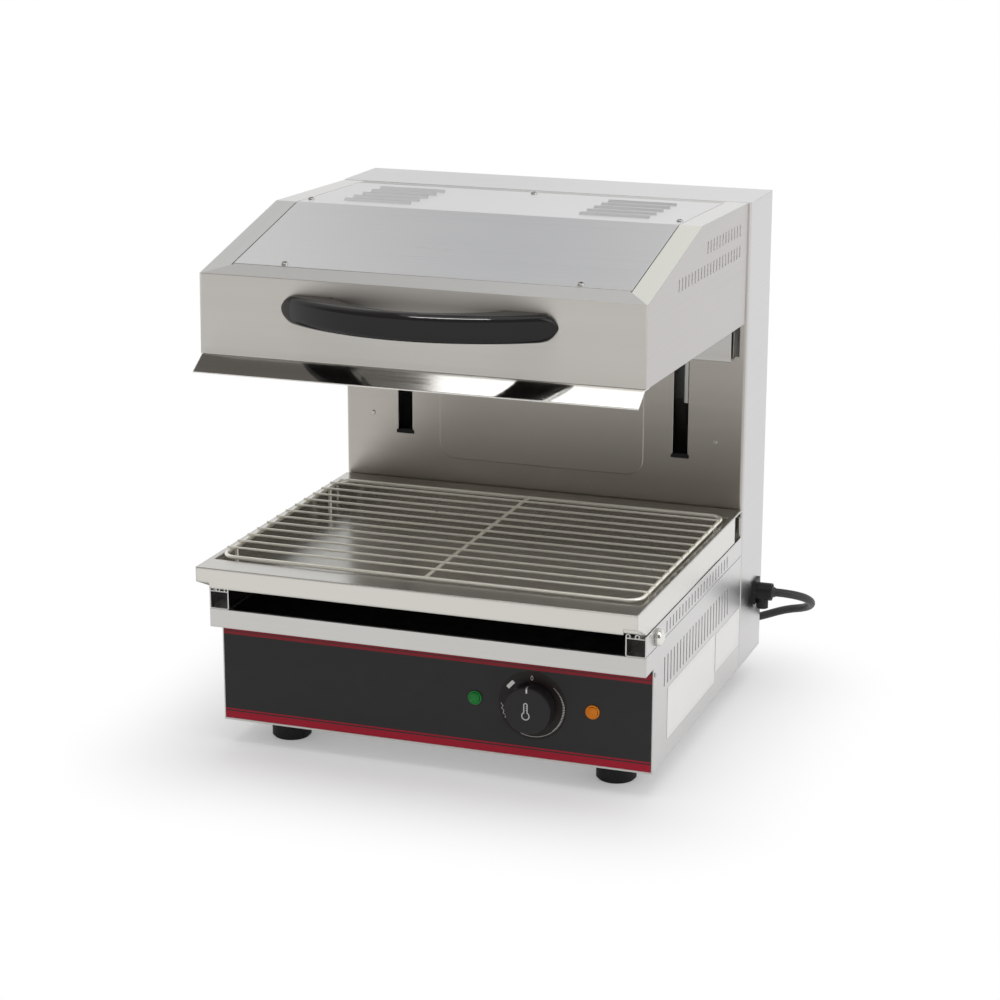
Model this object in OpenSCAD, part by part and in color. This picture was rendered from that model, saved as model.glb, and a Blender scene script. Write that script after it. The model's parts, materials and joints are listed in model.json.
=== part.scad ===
// Rise-and-fall salamander grill for a counter top, electric, in bent stainless sheet.
// A base with the controls carries a drip tray with a wire rack. A column behind it holds
// two guide rods, and the heated head rides up and down on them.
// Millimetres, +Z up, front towards -Y. The origin is on the counter, under the middle.

/* [Body] */
// Width of the base and of the column
body_w = 450; // [420:2:520]
// Height of the column above the counter
body_h = 530; // [520:2:600]
// Depth from the control panel to the rear of the column
base_d = 415; // [400:1:440]
// Height of the base's side panels
base_h = 124; // [118:1:134]
// How far the nose band stands in front of the control panel
nose_out = 27; // [15:1:36]
// Height of the nose band
nose_h = 19; // [14:1:26]
// Depth of the column
column_d = 90; // [84:1:110]
// Thickness of the bent sheet
sheet = 1.2; // [1:0.1:1.6]
// Thickness of the bottom plate
plate_t = 2; // [1.5:0.1:3]
// Radius of the column's front edges
column_r = 4; // [2.5:0.5:6]
// Gap between neighbouring sheets
seam = 0.3; // [0.2:0.05:0.5]
// Width of the folded flanges
flange = 14; // [12:0.5:15]

/* [Feet] */
// Diameter of a foot
foot_dia = 40; // [30:1:46]
// Height of a foot
foot_h = 28; // [22:1:36]
// Distance of the feet from the sides
foot_side_in = 51; // [35:1:70]
// Distance of the front feet from the control panel
foot_front_in = 51; // [35:1:70]
// Distance of the rear feet from the column's rear
foot_rear_in = 50; // [35:1:70]

/* [Controls] */
// Distance of the knob's axis from the middle
knob_x = 104; // [90:1:120]
// Height of the knob above the base's bottom
control_z = 53.5; // [48:0.5:60]
// How far the lamps are above the knob's axis
lamp_up = 1; // [0:0.5:3]
// Diameter of the knob
knob_dia = 47; // [42:1:60]
// Length of the knob
knob_len = 16.5; // [14:0.5:28]
// Diameter of the thermostat's spindle
spindle_dia = 6; // [5:0.5:8]
// Distance of the power lamp from the middle
power_lamp_x = 45; // [30:1:55]
// Distance of the heating lamp from the middle
heat_lamp_x = 165; // [152:1:185]
// Diameter of a lamp's lens
lamp_dia = 14; // [10:1:18]
// How far a lamp's lens stands out
lamp_out = 4; // [2.5:0.5:6]

/* [Vents] */
// Width of an upright vent slot
vent_w = 3; // [2:0.5:5]
// Spacing of the vent slots
vent_pitch = 11.2; // [9:0.2:14]
// Number of slots in a row on the base
vent_count = 22; // [4:1:23]
// Height of the base's slots
base_vent_h = 30; // [10:1:40]
// Height of the base's lowest vent edge above its bottom
base_vent_z = 75; // [60:1:80]
// Height of the slots in the rails and the head
vent_h = 12; // [6:1:14]

/* [Rails] */
// Width of a tray rail
rail_w = 20.5; // [18:0.5:26]
// Height of a tray rail
rail_h = 22.7; // [18:0.5:28]
// Diameter of the curled edges
curl_dia = 5; // [4:0.5:5]
// Gap between the two curled edges of a rail
curl_gap = 4; // [1.5:0.5:4]
// Outer radius of a rail's bends
rail_bend = 2; // [2:0.5:3]
// How far a rail's outer wall ends below its curls
rail_relief = 1.5; // [1:0.5:2.5]
// Diameter of the domed screw at the front of a rail
dome_dia = 17; // [10:1:18]
// How far the domed screw stands out
dome_out = 7.5; // [4:0.5:8]

/* [Tray] */
// Height of the tray
tray_h = 28; // [22:1:34]
// Depth of the pan, front to back
pan_d = 322; // [300:1:330]
// How far the tray's front flange stands in front of the pan
tray_front = 29; // [20:1:40]
// Height of the tray's front face
tray_face_h = 20; // [14:1:24]
// Depth of the tray's rear flange
tray_rear = 28; // [15:1:30]
// Width of the hem along the tray's sides
hem_w = 6; // [4:0.5:8]
// Width of the notches at the ends of the front face
notch_w = 14; // [8:1:20]
// Height of the notches
notch_h = 5; // [3:0.5:8]

/* [Rack] */
// Diameter of the rack's frame wire
frame_wire = 4; // [3:0.5:5]
// Diameter of the rack's cross wires
cross_wire = 2.5; // [2:0.1:3.5]
// Number of cross wires
cross_count = 12; // [4:1:12]
// Spacing of the cross wires
cross_pitch = 23.5; // [15:0.5:24]
// Distance of the rack's frame from the pan's walls
rack_gap = 9; // [8.5:0.5:14]
// Height of the rack's frame above the tray's rim
rack_up = 1.5; // [1:0.5:6]

/* [Head] */
// Drop from the column's top to the head's underside, fully raised
head_below = 125; // [120:1:135]
// Gap from the head's sides to the body's sides
head_side_in = 2.2; // [1:0.2:6]
// Depth from the head's front to the rear of the column
head_d = 450; // [440:1:460]
// Gap between the head and the column
head_gap = 5; // [4:0.5:8]
// Height of the head's front face
face_h = 78; // [72:1:84]
// Height of the head at its top
head_h = 125; // [115:1:130]
// Depth of the sloping part
slope_d = 178; // [150:1:190]
// How far the head leans back, degrees
head_lean = 1.4; // [0:0.1:1.6]
// How far the head travels down
head_travel = 130; // [90:5:130]
// How far the head's back plate hangs below its sides
back_drop = 41; // [30:1:45]
// Width of the edge strips beside the cover
strip_w = 23.5; // [18:0.5:30]
// Distance of the cover's lower edge up the slope
strip_front = 26.5; // [18:0.5:36]
// Distance of the cover's rear edge from the head's rear
strip_rear = 15; // [12:0.5:20]
// Number of louvres in a group
louvre_count = 5; // [2:1:6]
// Length of a louvre
louvre_len = 72; // [50:1:90]
// Spacing of the louvres
louvre_pitch = 24; // [18:1:26]
// Distance of the louvres' middle from the centre line
louvre_x = 125; // [115:1:135]
// How far the deflector reaches forward
deflector_out = 20.5; // [12:0.5:24]
// How far the deflector drops
deflector_drop = 13.5; // [8:0.5:16]

/* [Handle] */
// Half of the handle's length
handle_half = 139; // [120:1:150]
// How far the handle stands out
handle_out = 53; // [44:1:60]
// Thickness of the handle's bow
handle_t = 13; // [11:0.5:15]
// Height of the handle's bow
handle_h = 27; // [24:1:32]
// Half of the finger gap at the head's face
handle_gap_half = 86; // [70:1:94]
// Height of the handle above the head's underside
handle_z = 50; // [40:1:56]

/* [Heating] */
// Diameter of a heating element
element_dia = 8; // [6:0.5:9]
// Spacing of an element's two legs
element_pitch = 44; // [30:1:60]
// Spacing of the three elements
element_step = 100; // [80:2:104]
// Height of the elements above the head's underside
element_z = 20; // [16:1:24]
// Height of the reflector inside the head
reflector_h = 44; // [38:1:50]
// Thickness of the reflector's sheet
reflector_t = 0.8; // [0.6:0.1:1.2]
// Thickness of the insulation
insulation_t = 20; // [12:1:22]

/* [Lift] */
// Distance of the guide slots from the middle
slot_x = 155.5; // [150:0.5:162]
// Width of a guide slot
slot_w = 16.5; // [12:0.5:18]
// Height of the rubber stop in a slot
stop_h = 3; // [2:0.5:3]
// Thickness of a lifting arm
arm_t = 4.5; // [3:0.5:6]
// Distance of the guide rods from the middle
rod_x = 120; // [110:1:126]
// Diameter of a guide rod
rod_dia = 12; // [10:1:14]
// Distance of the guide rods from the column's rear
rod_y = 30; // [28:1:32]
// Running clearance of the bushes on the rods
rod_fit = 0.1; // [0.05:0.01:0.15]
// Length of a bush
bush_len = 34; // [24:1:36]
// Distance of the springs from the middle
spring_x = 75; // [60:1:85]
// Mean diameter of a spring's coil
spring_dia = 16; // [12:1:18]
// Diameter of the spring wire
spring_wire = 1.8; // [1.4:0.1:2.4]
// Turns of a spring
spring_turns = 14; // [8:1:16]

/* [Mains lead] */
// Diameter of the mains lead
cord_dia = 9; // [8:0.5:10]
// Height of the lead's gland above the base's bottom
gland_z = 67; // [55:1:80]
// Distance of the gland from the column's rear
gland_y = 25; // [22:1:32]
// Mean diameter of the coil of spare lead
coil_mean = 100; // [90:2:108]

/* [Hidden] */
$fn = 48;

steel = "#c9c7c2";
dark_steel = "#8f8c87";
black = "#2b2a2c";
rubber = "#26262a";
brass = "#b08d57";

half_w = body_w / 2;
base_z = foot_h + plate_t;
side_top = base_z + base_h;
nose_z = side_top - nose_h;
nose_d = base_d + nose_out;
inner_half = half_w - sheet - seam;
overlay_t = 0.4;
panel_front = base_d + overlay_t;
cut = 1;                 // how far a cutter runs past what it cuts
head_z = body_h - head_below;
arm_low = head_z - 14;
slot_z = arm_low - head_travel - stop_h - 1;

// Side panels
base_vent_rear = 141;
rail_vent_rear = 147;
side_rivet_in = 30;
side_rivet_down = 26;
side_rivet_y = nose_d - side_rivet_in;
side_rivet_z = side_top - side_rivet_down;
label_t = 0.3;
label_in = 49;
label_low = 17;
label_len = 175;
label_h = 53;
small_label_low = 27;
small_label_len = 95;
small_label_h = 41;

// Screws
screw_dia = 4;
screw_head = 8;
screw_head_h = 1.8;
screw_play = 0.2;

// Column
plateau_out = 0.8;
plateau_half = 115;
plateau_below = 298;
plateau_z = body_h - plateau_below;
plateau_r = 18;
plateau_h = 268;
slot_top = body_h - 27;
hook_slot_x = 214;
hook_slot_w = 6;
hook_slot_below = 161;
hook_slot_z = body_h - hook_slot_below;
hook_slot_h = 131;
window_half = 60;
window_z = 45;
window_h = 60;
rivet_x = 193.4;
rivet_below = 254.5;
rivet_z = body_h - rivet_below;
rivet_dia = 4.6;
rivet_shank = 3;
rivet_head_h = 1.2;
back_flange = 11;
back_vents = 10;
back_vent_pitch = 14;
back_vent_len = 110;
back_vent_h = 4;
back_vent_z = 60;
back_vent_x = 100;
back_screw_rows = [for (part = [0.11, 0.36, 0.62, 0.9]) part * body_h];
cap_skirt = 12;

// Rails and tray
rail_top = side_top + rail_h;
rail_x = half_w - rail_w;
tray_z = rail_top + seam;
tray_top = tray_z + tray_h;
pan_front = nose_d;
pan_rear = nose_d - pan_d;
tray_lip_y = pan_front + tray_front;
tray_rear_y = pan_rear - tray_rear;
rear_turn = 8;
rail_vent_z = side_top + 4;
dome_y = nose_d - 35;
dome_z = side_top + 10.5;
dome_sphere_r = (pow(dome_dia / 2, 2) + pow(dome_out, 2)) / (2 * dome_out);

// Rack
rack_half = half_w - sheet - rack_gap;
rack_front = pan_front - sheet - rack_gap + 2;
rack_rear = pan_rear + sheet + rack_gap - 2;
rack_z = tray_top + rack_up;
rack_r = 15;
cross_half = rack_half + 3;
wire_fit = 0.03;         // hairline between welded wires, which keeps each a solid of its own
bar_wire = frame_wire - 0.6;
cross_z = rack_z + (frame_wire + cross_wire) / 2 + wire_fit;
cross_first = rack_front - 21;

// Head, in its own upright place before it leans
head_half = half_w - head_side_in;
head_rear = column_d + head_gap;
head_top = head_z + head_h;
slope_end = head_d - slope_d;
head_outline = [
  [-head_d, head_z], [-head_d, head_z + face_h], [-slope_end, head_top],
  [-head_rear, head_top], [-head_rear, head_z]];
cover_half = head_half - strip_w;
cover_gap = 0.8;
cover_rear = head_rear + strip_rear;
ledge = 12;
ledge_fit = 0.1;
rear_flange_half = 205;
back_half = 210;
back_gap = 1.3;
louvre_w = 3;
louvre_rise = 2.2;
louvre_first = (cover_rear + slope_end) / 2 + 2 - louvre_pitch * (louvre_count - 1) / 2;
cover_screw_in = 6.5;
slope_screw_x = 148.5;
top_screw_in = 5.3;
top_screw_behind = 22;
top_screw_x = cover_half - top_screw_in;
top_screw_y = slope_end - top_screw_behind;
rear_screw_in = 9;
cover_screw_dia = 3.5;
cover_screw_head = 7;
vent_upper_count = 12;
vent_lower_count = 21;
vent_upper_y = 124;
vent_lower_y = 123;
vent_upper_z = head_z + 95;
vent_lower_z = head_z + 73;

// Handle
handle_sink = 12;
handle_screw_x = (handle_half + handle_gap_half) / 2;
handle_screw_dia = 5;
bow_r = (pow(handle_half, 2) + pow(handle_out, 2)) / (2 * handle_out);
gap_out = handle_out - handle_t;
gap_r = (pow(handle_gap_half, 2) + pow(gap_out, 2)) / (2 * gap_out);
bow_round = 6;

// Heating
reflector_side = 10;
reflector_rim = 16;
bracket_x = 150;
bracket_t = 1.5;
terminal_reach = 4;
element_fit = 0.3;

// Lift: arms, carriage, rods
arm_top = slot_top - 3;
arm_tail_below = 95;
arm_tail_z = head_z - arm_tail_below;
arm_tail_y = 70;
carriage_y = 52;
carriage_t = 3;
carriage_half = slot_x + 8;
arm_foot_t = 3;
arm_foot_half = 11;
bracket_top_z = body_h - 18;
bracket_low_z = 150;
lift_bracket_t = 3;
lift_bracket_lip = 10;
lead_pass_x = 20;
lead_pass_w = 40;
lead_pass_in = 12;
block_half = 15;
bush_wall = 3;
bush_rim = 2;
collar_h = 2.7;
collar_dia = 18;
tab_z = arm_tail_z + 16;
tab_half = 12;
lead_dia = 16;

// Controls
spindle_back = 20;
spindle_in_knob = knob_len - 5.5;
neck_dia = 10;
neck_fit = 0.2;
running_fit = 0.05;
knob_gap = 0.6;
body_side = 40;
body_deep = 30;
lamp_stem = 11.6;
lamp_rim = 1;
block_x = 125;
block_y = 61;
block_len = 50;
block_w = 22;
block_h = 20;

// Mains lead: the route is chosen by hand, from the sleeve to the coil
gland_out = 21;
gland_flange_half = 10;
gland_flange_low = 13;
gland_flange_high = 13.5;
gland_flange_t = 3;
gland_body_r = 9.5;
gland_boss_r = 6.5;
gland_boss_x = 8.5;
gland_boss_down = 18.5;
sleeve_seat = 1;
cord_route = [
  [247, -25, 97], [256.5, -23, 96.5], [268.5, -16.5, 93.5], [276.5, -6.5, 88.5], [280, 3.5, 82.5],
  [279.5, 14.5, 76], [274.5, 25.5, 69], [264, 34, 63], [252, 38, 60], [237, 40, 55], [219, 41, 47],
  [198, 38, 41], [179, 37, 32], [160, 35, 23], [142, 31, 15], [123, 27, 8], [103, 25, 5],
  [83, 24, 5]];
coil_x = 60;
coil_y = 79;
coil_z = 0.5;
plug_x = 30;
plug_y = 24;
plug_z = 19;
plug_dia = 37;
plug_len = 42;
plug_neck = 7;
plug_neck_len = 18;
plug_waist = 12;
pin_gap = 19;
pin_dia = 4.8;
pin_len = 19;

// The whole part stands with the middle of its depth over the origin
bow_front = leaned([-head_d - handle_out + bow_round, head_z + handle_z - handle_h / 2 + bow_round]);
front_y = bow_round - bow_front.x;
rear_y = screw_head_h;
mid_y = (front_y - rear_y) / 2;

// ---------- Functions ----------

function unit(v) = v / norm(v);
function turn_right(v) = [v.y, -v.x];

// A closed outline, listed clockwise, drawn in by d
function inset(p, d) = [
  for (i = [0 : len(p) - 1])
    let (
      a = p[(i + len(p) - 1) % len(p)], b = p[i], c = p[(i + 1) % len(p)],
      n1 = turn_right(unit(b - a)), n2 = turn_right(unit(c - b)))
    b + d * (n1 + n2) / (1 + n1 * n2)];

// A point of the head, (y, z) before it leans, where it stands on the leaning head
function leaned(p) = [
  -column_d + (p.x + column_d) * cos(head_lean) + (p.y - head_z) * sin(head_lean),
  head_z - (p.x + column_d) * sin(head_lean) + (p.y - head_z) * cos(head_lean)];

slope_dir = unit(head_outline[2] - head_outline[1]);
slope_tilt = atan2(slope_dir.y, slope_dir.x);

// A point s up the slope and d under its face
function slope_at(s, d) = head_outline[1] + s * slope_dir + d * turn_right(slope_dir);

// A layer under the slope and the top, from s up the slope to y = rear, d0 to d1 deep
function head_layer(s, rear, d0, d1) = [
  slope_at(s, d0), inset(head_outline, d0)[2], [-rear, head_top - d0],
  [-rear, head_top - d1], inset(head_outline, d1)[2], slope_at(s, d1)];

// Rings of a round tube along points, as one list of points
function tube_dir(p, i) = unit(p[min(i + 1, len(p) - 1)] - p[max(i - 1, 0)]);
function tube_side(t, ref) = unit(cross(t, ref));
function tube_points(p, r, sides, ref) = [
  for (i = [0 : len(p) - 1])
    let (t = tube_dir(p, i), u = tube_side(t, ref), v = cross(t, u))
    for (k = [0 : sides - 1])
      p[i] + r * (cos(360 * k / sides) * u + sin(360 * k / sides) * v)];
function tube_faces(rings, sides) = concat(
  [[for (k = [0 : sides - 1]) k]],
  [[for (k = [sides - 1 : -1 : 0]) (rings - 1) * sides + k]],
  [for (i = [0 : rings - 2]) for (k = [0 : sides - 1])
    [i * sides + k, (i + 1) * sides + k, (i + 1) * sides + (k + 1) % sides]],
  [for (i = [0 : rings - 2]) for (k = [0 : sides - 1])
    [i * sides + k, (i + 1) * sides + (k + 1) % sides, i * sides + (k + 1) % sides]]);

// ---------- Shared shapes ----------

module placed() translate([0, mid_y, 0]) children();
module box(x0, x1, y0, y1, z0, z1) translate([x0, y0, z0]) cube([x1 - x0, y1 - y0, z1 - z0]);
module along_x(x0, x1) translate([x0, 0, 0]) rotate([90, 0, 90]) linear_extrude(x1 - x0) children();
module along_y(y0, y1) translate([0, y1, 0]) rotate([90, 0, 0]) linear_extrude(y1 - y0) children();
module rod_x(x0, x1, y, z, r) translate([x0, y, z]) rotate([0, 90, 0]) cylinder(h = x1 - x0, r = r);
module rod_y(x, y0, y1, z, r) translate([x, y1, z]) rotate([90, 0, 0]) cylinder(h = y1 - y0, r = r);
module rod_z(x, y, z0, z1, r) translate([x, y, z0]) cylinder(h = z1 - z0, r = r);
module both_sides() { children(); mirror([1, 0, 0]) children(); }
module tube(points, r, sides, ref)
  polyhedron(points = tube_points(points, r, sides, ref), faces = tube_faces(len(points), sides));

// The head's pieces lean back together about the column's front
module lean()
  translate([0, -column_d, head_z]) rotate([-head_lean, 0, 0]) translate([0, column_d, -head_z]) children();

// A slab in x and z with four round corners, y0 to y1
module round_slab(half, z0, z1, y0, y1, r) {
  box(-half + r, half - r, y0, y1, z0, z1);
  box(-half, half, y0, y1, z0 + r, z1 - r);
  for (x = [-half + r, half - r], z = [z0 + r, z1 - r]) rod_y(x, y0, y1, z, r);
}

// Upright slots through the right wall, counted forward from the rear one
module vent_row(count, rear, z, h)
  for (i = [0 : count - 1])
    box(head_half - 2 * cut - sheet, half_w + cut, -rear - i * vent_pitch - vent_w,
        -rear - i * vent_pitch, z, z + h);

// ---------- Base ----------

module base_bottom() color(steel) placed() difference() {
  box(-half_w, half_w, -base_d, 0, base_z - plate_t, base_z);
  foot_places() rod_z(0, 0, base_z - plate_t - cut, base_z + cut, foot_screw_dia / 2 + screw_play);
}

module side_panel() difference() {
  union() {
    along_x(half_w - sheet, half_w) polygon([
      [-column_d - seam, base_z], [-base_d, base_z], [-base_d, nose_z],
      [-nose_d + sheet, nose_z], [-nose_d + sheet, side_top], [-column_d - seam, side_top]]);
    box(rail_x, half_w, -nose_d + sheet, -column_d - seam, side_top - sheet, side_top);
    box(half_w - flange, half_w, -base_d + flange + 2 * sheet, -column_d - seam, base_z, base_z + sheet);
  }
  vent_row(vent_count, base_vent_rear, base_z + base_vent_z, base_vent_h);
  rod_x(half_w - sheet - cut, half_w + cut, -side_rivet_y, side_rivet_z, rivet_shank / 2 + screw_play / 2);
}

module side_panel_left() color(steel) placed() mirror([1, 0, 0]) side_panel();
module side_panel_right() color(steel) placed() side_panel();

module panel_holes(y0, y1) {
  rod_y(knob_x, y0, y1, base_z + control_z, neck_dia / 2 + neck_fit);
  for (x = [power_lamp_x, heat_lamp_x])
    rod_y(x, y0, y1, base_z + control_z + lamp_up, lamp_stem / 2 + screw_play);
}

module control_panel() color(steel) placed() difference() {
  union() {
    box(-inner_half, inner_half, -base_d, -base_d + sheet, base_z, nose_z);
    box(-inner_half, inner_half, -base_d, -base_d + flange, nose_z - sheet, nose_z);
    box(-inner_half, inner_half, -base_d, -base_d + flange, base_z, base_z + sheet);
  }
  panel_holes(-base_d - cut, -base_d + sheet + cut);
}

module fascia_sheet() color(black) placed() difference() {
  box(-inner_half, inner_half, -panel_front, -base_d, base_z + seam, nose_z - seam);
  panel_holes(-panel_front - cut, -base_d + cut);
}

module nose_trim() color(steel) placed() {
  box(-half_w, half_w, -nose_d, -nose_d + sheet, nose_z, side_top);
  box(-inner_half, inner_half, -nose_d, -base_d + flange, nose_z, nose_z + sheet);
  box(-rail_x + seam, rail_x - seam, -nose_d, -nose_d + 2.5 * sheet, side_top - sheet, side_top);
}

module deck_plate() color(black) placed()
  box(-inner_half, inner_half, -nose_d + sheet + seam, -column_d - seam, nose_z + sheet, nose_z + 2 * sheet);

// A bent corner of a rail's section, a quarter ring towards the given side and downwards
module rail_corner(x, side) intersection() {
  translate([x, side_top + rail_bend]) difference() {
    circle(rail_bend);
    circle(rail_bend - sheet);
  }
  translate([side > 0 ? x : x - rail_bend, side_top]) square(rail_bend);
}

module curl(x) translate([x, rail_top - curl_dia / 2]) difference() {
  circle(curl_dia / 2);
  circle(curl_dia / 2 - sheet);
}

module rail() {
  shelf_z = rail_top - curl_dia;
  in_curl = rail_x + curl_dia / 2;
  out_curl = in_curl + curl_dia + curl_gap;
  difference() {
    along_y(-nose_d, -column_d - seam) {
      translate([rail_x + rail_bend, side_top]) square([rail_w - 2 * rail_bend, sheet]);
      rail_corner(rail_x + rail_bend, -1);
      rail_corner(half_w - rail_bend, 1);
      translate([rail_x, side_top + rail_bend]) square([sheet, rail_h - rail_bend - curl_dia / 2]);
      translate([half_w - sheet, side_top + rail_bend]) square([sheet, rail_h - rail_bend - rail_relief]);
      translate([rail_x + sheet / 2, shelf_z]) square([rail_w - sheet, sheet]);
      curl(in_curl);
      curl(out_curl);
    }
    for (i = [0 : vent_count - 2])
      box(half_w - sheet - cut, half_w + cut, -rail_vent_rear - i * vent_pitch - vent_w,
          -rail_vent_rear - i * vent_pitch, rail_vent_z, rail_vent_z + vent_h);
    rod_x(half_w - sheet - cut, half_w + cut, -dome_y, dome_z, screw_dia / 2 + screw_play);
  }
}

module rail_left() color(steel) placed() mirror([1, 0, 0]) rail();
module rail_right() color(steel) placed() rail();

module rail_screws() color(steel) placed() both_sides() {
  translate([half_w, -dome_y, dome_z]) rotate([0, 90, 0]) rotate_extrude() intersection() {
    translate([0, dome_out - dome_sphere_r]) circle(dome_sphere_r);
    square([dome_dia / 2, 2 * dome_out]);
  }
  rod_x(half_w - sheet - 4, half_w + cut, -dome_y, dome_z, screw_dia / 2);
  rod_x(half_w - sheet - 4, half_w - sheet, -dome_y, dome_z, screw_head / 2);
}

module side_labels() color("white") placed() {
  rear = column_d + 10 * seam;
  box(half_w, half_w + label_t, -base_d + label_in, -base_d + label_in + label_len,
      base_z + label_low, base_z + label_low + label_h);
  box(half_w, half_w + label_t, -rear - small_label_len, -rear,
      base_z + small_label_low, base_z + small_label_low + small_label_h);
}

// ---------- Feet ----------

foot_screw_dia = 5;
foot_bore = 14;
foot_seat = 8;

module foot_places() {
  for (x = [-half_w + foot_side_in, half_w - foot_side_in])
    for (y = [-base_d + foot_front_in, -foot_rear_in])
      translate([x, y, 0]) children();
}

module foot(x, y) color(rubber) placed() translate([x, y, 0]) difference() {
  union() {
    cylinder(h = foot_h - foot_seat, d = foot_dia - 4);
    translate([0, 0, 2]) cylinder(h = foot_h - 2, d = foot_dia);
  }
  translate([0, 0, -cut]) cylinder(h = foot_h + 2 * cut, d = foot_screw_dia + 2 * screw_play);
  translate([0, 0, -cut]) cylinder(h = foot_seat + cut, d = foot_bore);
}

module foot_front_left() foot(-half_w + foot_side_in, -base_d + foot_front_in);
module foot_front_right() foot(half_w - foot_side_in, -base_d + foot_front_in);
module foot_rear_left() foot(-half_w + foot_side_in, -foot_rear_in);
module foot_rear_right() foot(half_w - foot_side_in, -foot_rear_in);

module foot_screws() color(steel) placed() foot_places() {
  translate([0, 0, foot_seat - 3]) cylinder(h = 3, d = foot_bore - 4);
  translate([0, 0, foot_seat - cut]) cylinder(h = base_z + 5 - foot_seat + cut, d = foot_screw_dia);
  translate([0, 0, base_z]) cylinder(h = 4, d = foot_screw_dia + 4, $fn = 6);
}

// ---------- Controls ----------

module thermostat() color(dark_steel) placed() difference() {
  union() {
    box(knob_x - body_side / 2, knob_x + body_side / 2, -base_d + sheet, -base_d + sheet + body_deep,
        base_z + control_z - body_side / 2, base_z + control_z + body_side / 2);
    rod_y(knob_x, -panel_front, -base_d + sheet + cut, base_z + control_z, neck_dia / 2);
  }
  rod_y(knob_x, -panel_front - cut, -base_d + spindle_back + seam, base_z + control_z,
        spindle_dia / 2 + running_fit);
}

module spindle() color(brass) placed()
  rod_y(knob_x, -knob_back - spindle_in_knob, -base_d + spindle_back, base_z + control_z, spindle_dia / 2);

knob_back = panel_front + knob_gap;

module knob() color(black) placed() translate([knob_x, -knob_back, base_z + control_z])
  rotate([90, 0, 0]) difference() {
    union() {
      cylinder(h = knob_len - 2, d = knob_dia);
      rotate_extrude() translate([0, knob_len - 2]) {
        square([knob_dia / 2 - 2, 2]);
        intersection() {
          translate([knob_dia / 2 - 2, 0]) circle(2);
          translate([knob_dia / 2 - 2, 0]) square(2);
        }
      }
    }
    translate([0, 0, -cut]) cylinder(h = spindle_in_knob + seam + cut, d = spindle_dia + 2 * running_fit);
  }

module lamp(x) placed() translate([x, -panel_front, base_z + control_z + lamp_up]) rotate([90, 0, 0]) {
  dome_h = lamp_out - lamp_rim;
  dome_r = (pow(lamp_dia / 2, 2) + pow(dome_h, 2)) / (2 * dome_h);
  translate([0, 0, -22]) cylinder(h = 22 + lamp_rim / 2, d = lamp_stem);
  cylinder(h = lamp_rim, d = lamp_dia);
  intersection() {
    translate([0, 0, lamp_rim + dome_h - dome_r]) sphere(dome_r);
    translate([0, 0, lamp_rim / 2]) cylinder(h = lamp_out, d = lamp_dia);
  }
}

module lamp_green() color("#1f8a35") lamp(power_lamp_x);
module lamp_orange() color("#d5820f") lamp(heat_lamp_x);

module terminal_block() color("ivory") placed() difference() {
  box(block_x - block_len / 2, block_x + block_len / 2, -block_y - block_w / 2, -block_y + block_w / 2,
      base_z, base_z + block_h);
  for (i = [-1.5 : 1.5])
    rod_z(block_x + 10 * i, -block_y, base_z + block_h / 2, base_z + block_h + cut, 2.5);
}

module wiring() color("#444444") placed() {
  tube([[half_w - sheet - 1, -gland_y, base_z + gland_z], [half_w - 16, -gland_y, base_z + gland_z - 1],
        [block_x + 71, -gland_y - 4, base_z + gland_z - 4],
        [block_x + 58, -gland_y - 12, base_z + gland_z - 9],
        [block_x + 45, -block_y + 13, base_z + gland_z - 15],
        [block_x + 31, -block_y + 4, base_z + block_h + 25],
        [block_x + 18, -block_y, base_z + block_h + 13], [block_x + 15, -block_y, base_z + block_h + 6],
        [block_x + 15, -block_y, base_z + block_h + seam]],
       cord_dia / 2 - 1, 8, [0, 1, 0]);
  start_x = block_x - block_len / 2 - seam;
  end_y = -base_d + sheet + body_deep + seam;
  tube([[start_x, -block_y, base_z + 8], [start_x - 6, -block_y, base_z + 8],
        [start_x - 18, -block_y - 3, base_z + 11], [start_x - 38, -block_y - 13, base_z + 18],
        [start_x - 50, -block_y - 29, base_z + 24], [start_x - 54, -block_y - 51, base_z + 23],
        [start_x - 48, -block_y - 99, base_z + 10], [start_x - 30, end_y + 154, base_z + 6],
        [knob_x - 15, end_y + 84, base_z + 8], [knob_x - 6, end_y + 40, base_z + 22],
        [knob_x - 1, end_y + 16, base_z + control_z - 8], [knob_x, end_y + 6, base_z + control_z],
        [knob_x, end_y, base_z + control_z]],
       3, 8, [0, 0, 1]);
}

// ---------- Column ----------

module column_plan(d) {
  r = column_r - d;
  translate([-half_w + column_r, -column_d + d]) square([body_w - 2 * column_r, column_d - d]);
  translate([-half_w + d, -column_d + column_r]) square([body_w - 2 * d, column_d - column_r]);
  for (x = [-half_w + column_r, half_w - column_r]) translate([x, -column_d + column_r]) circle(r);
}

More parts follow.
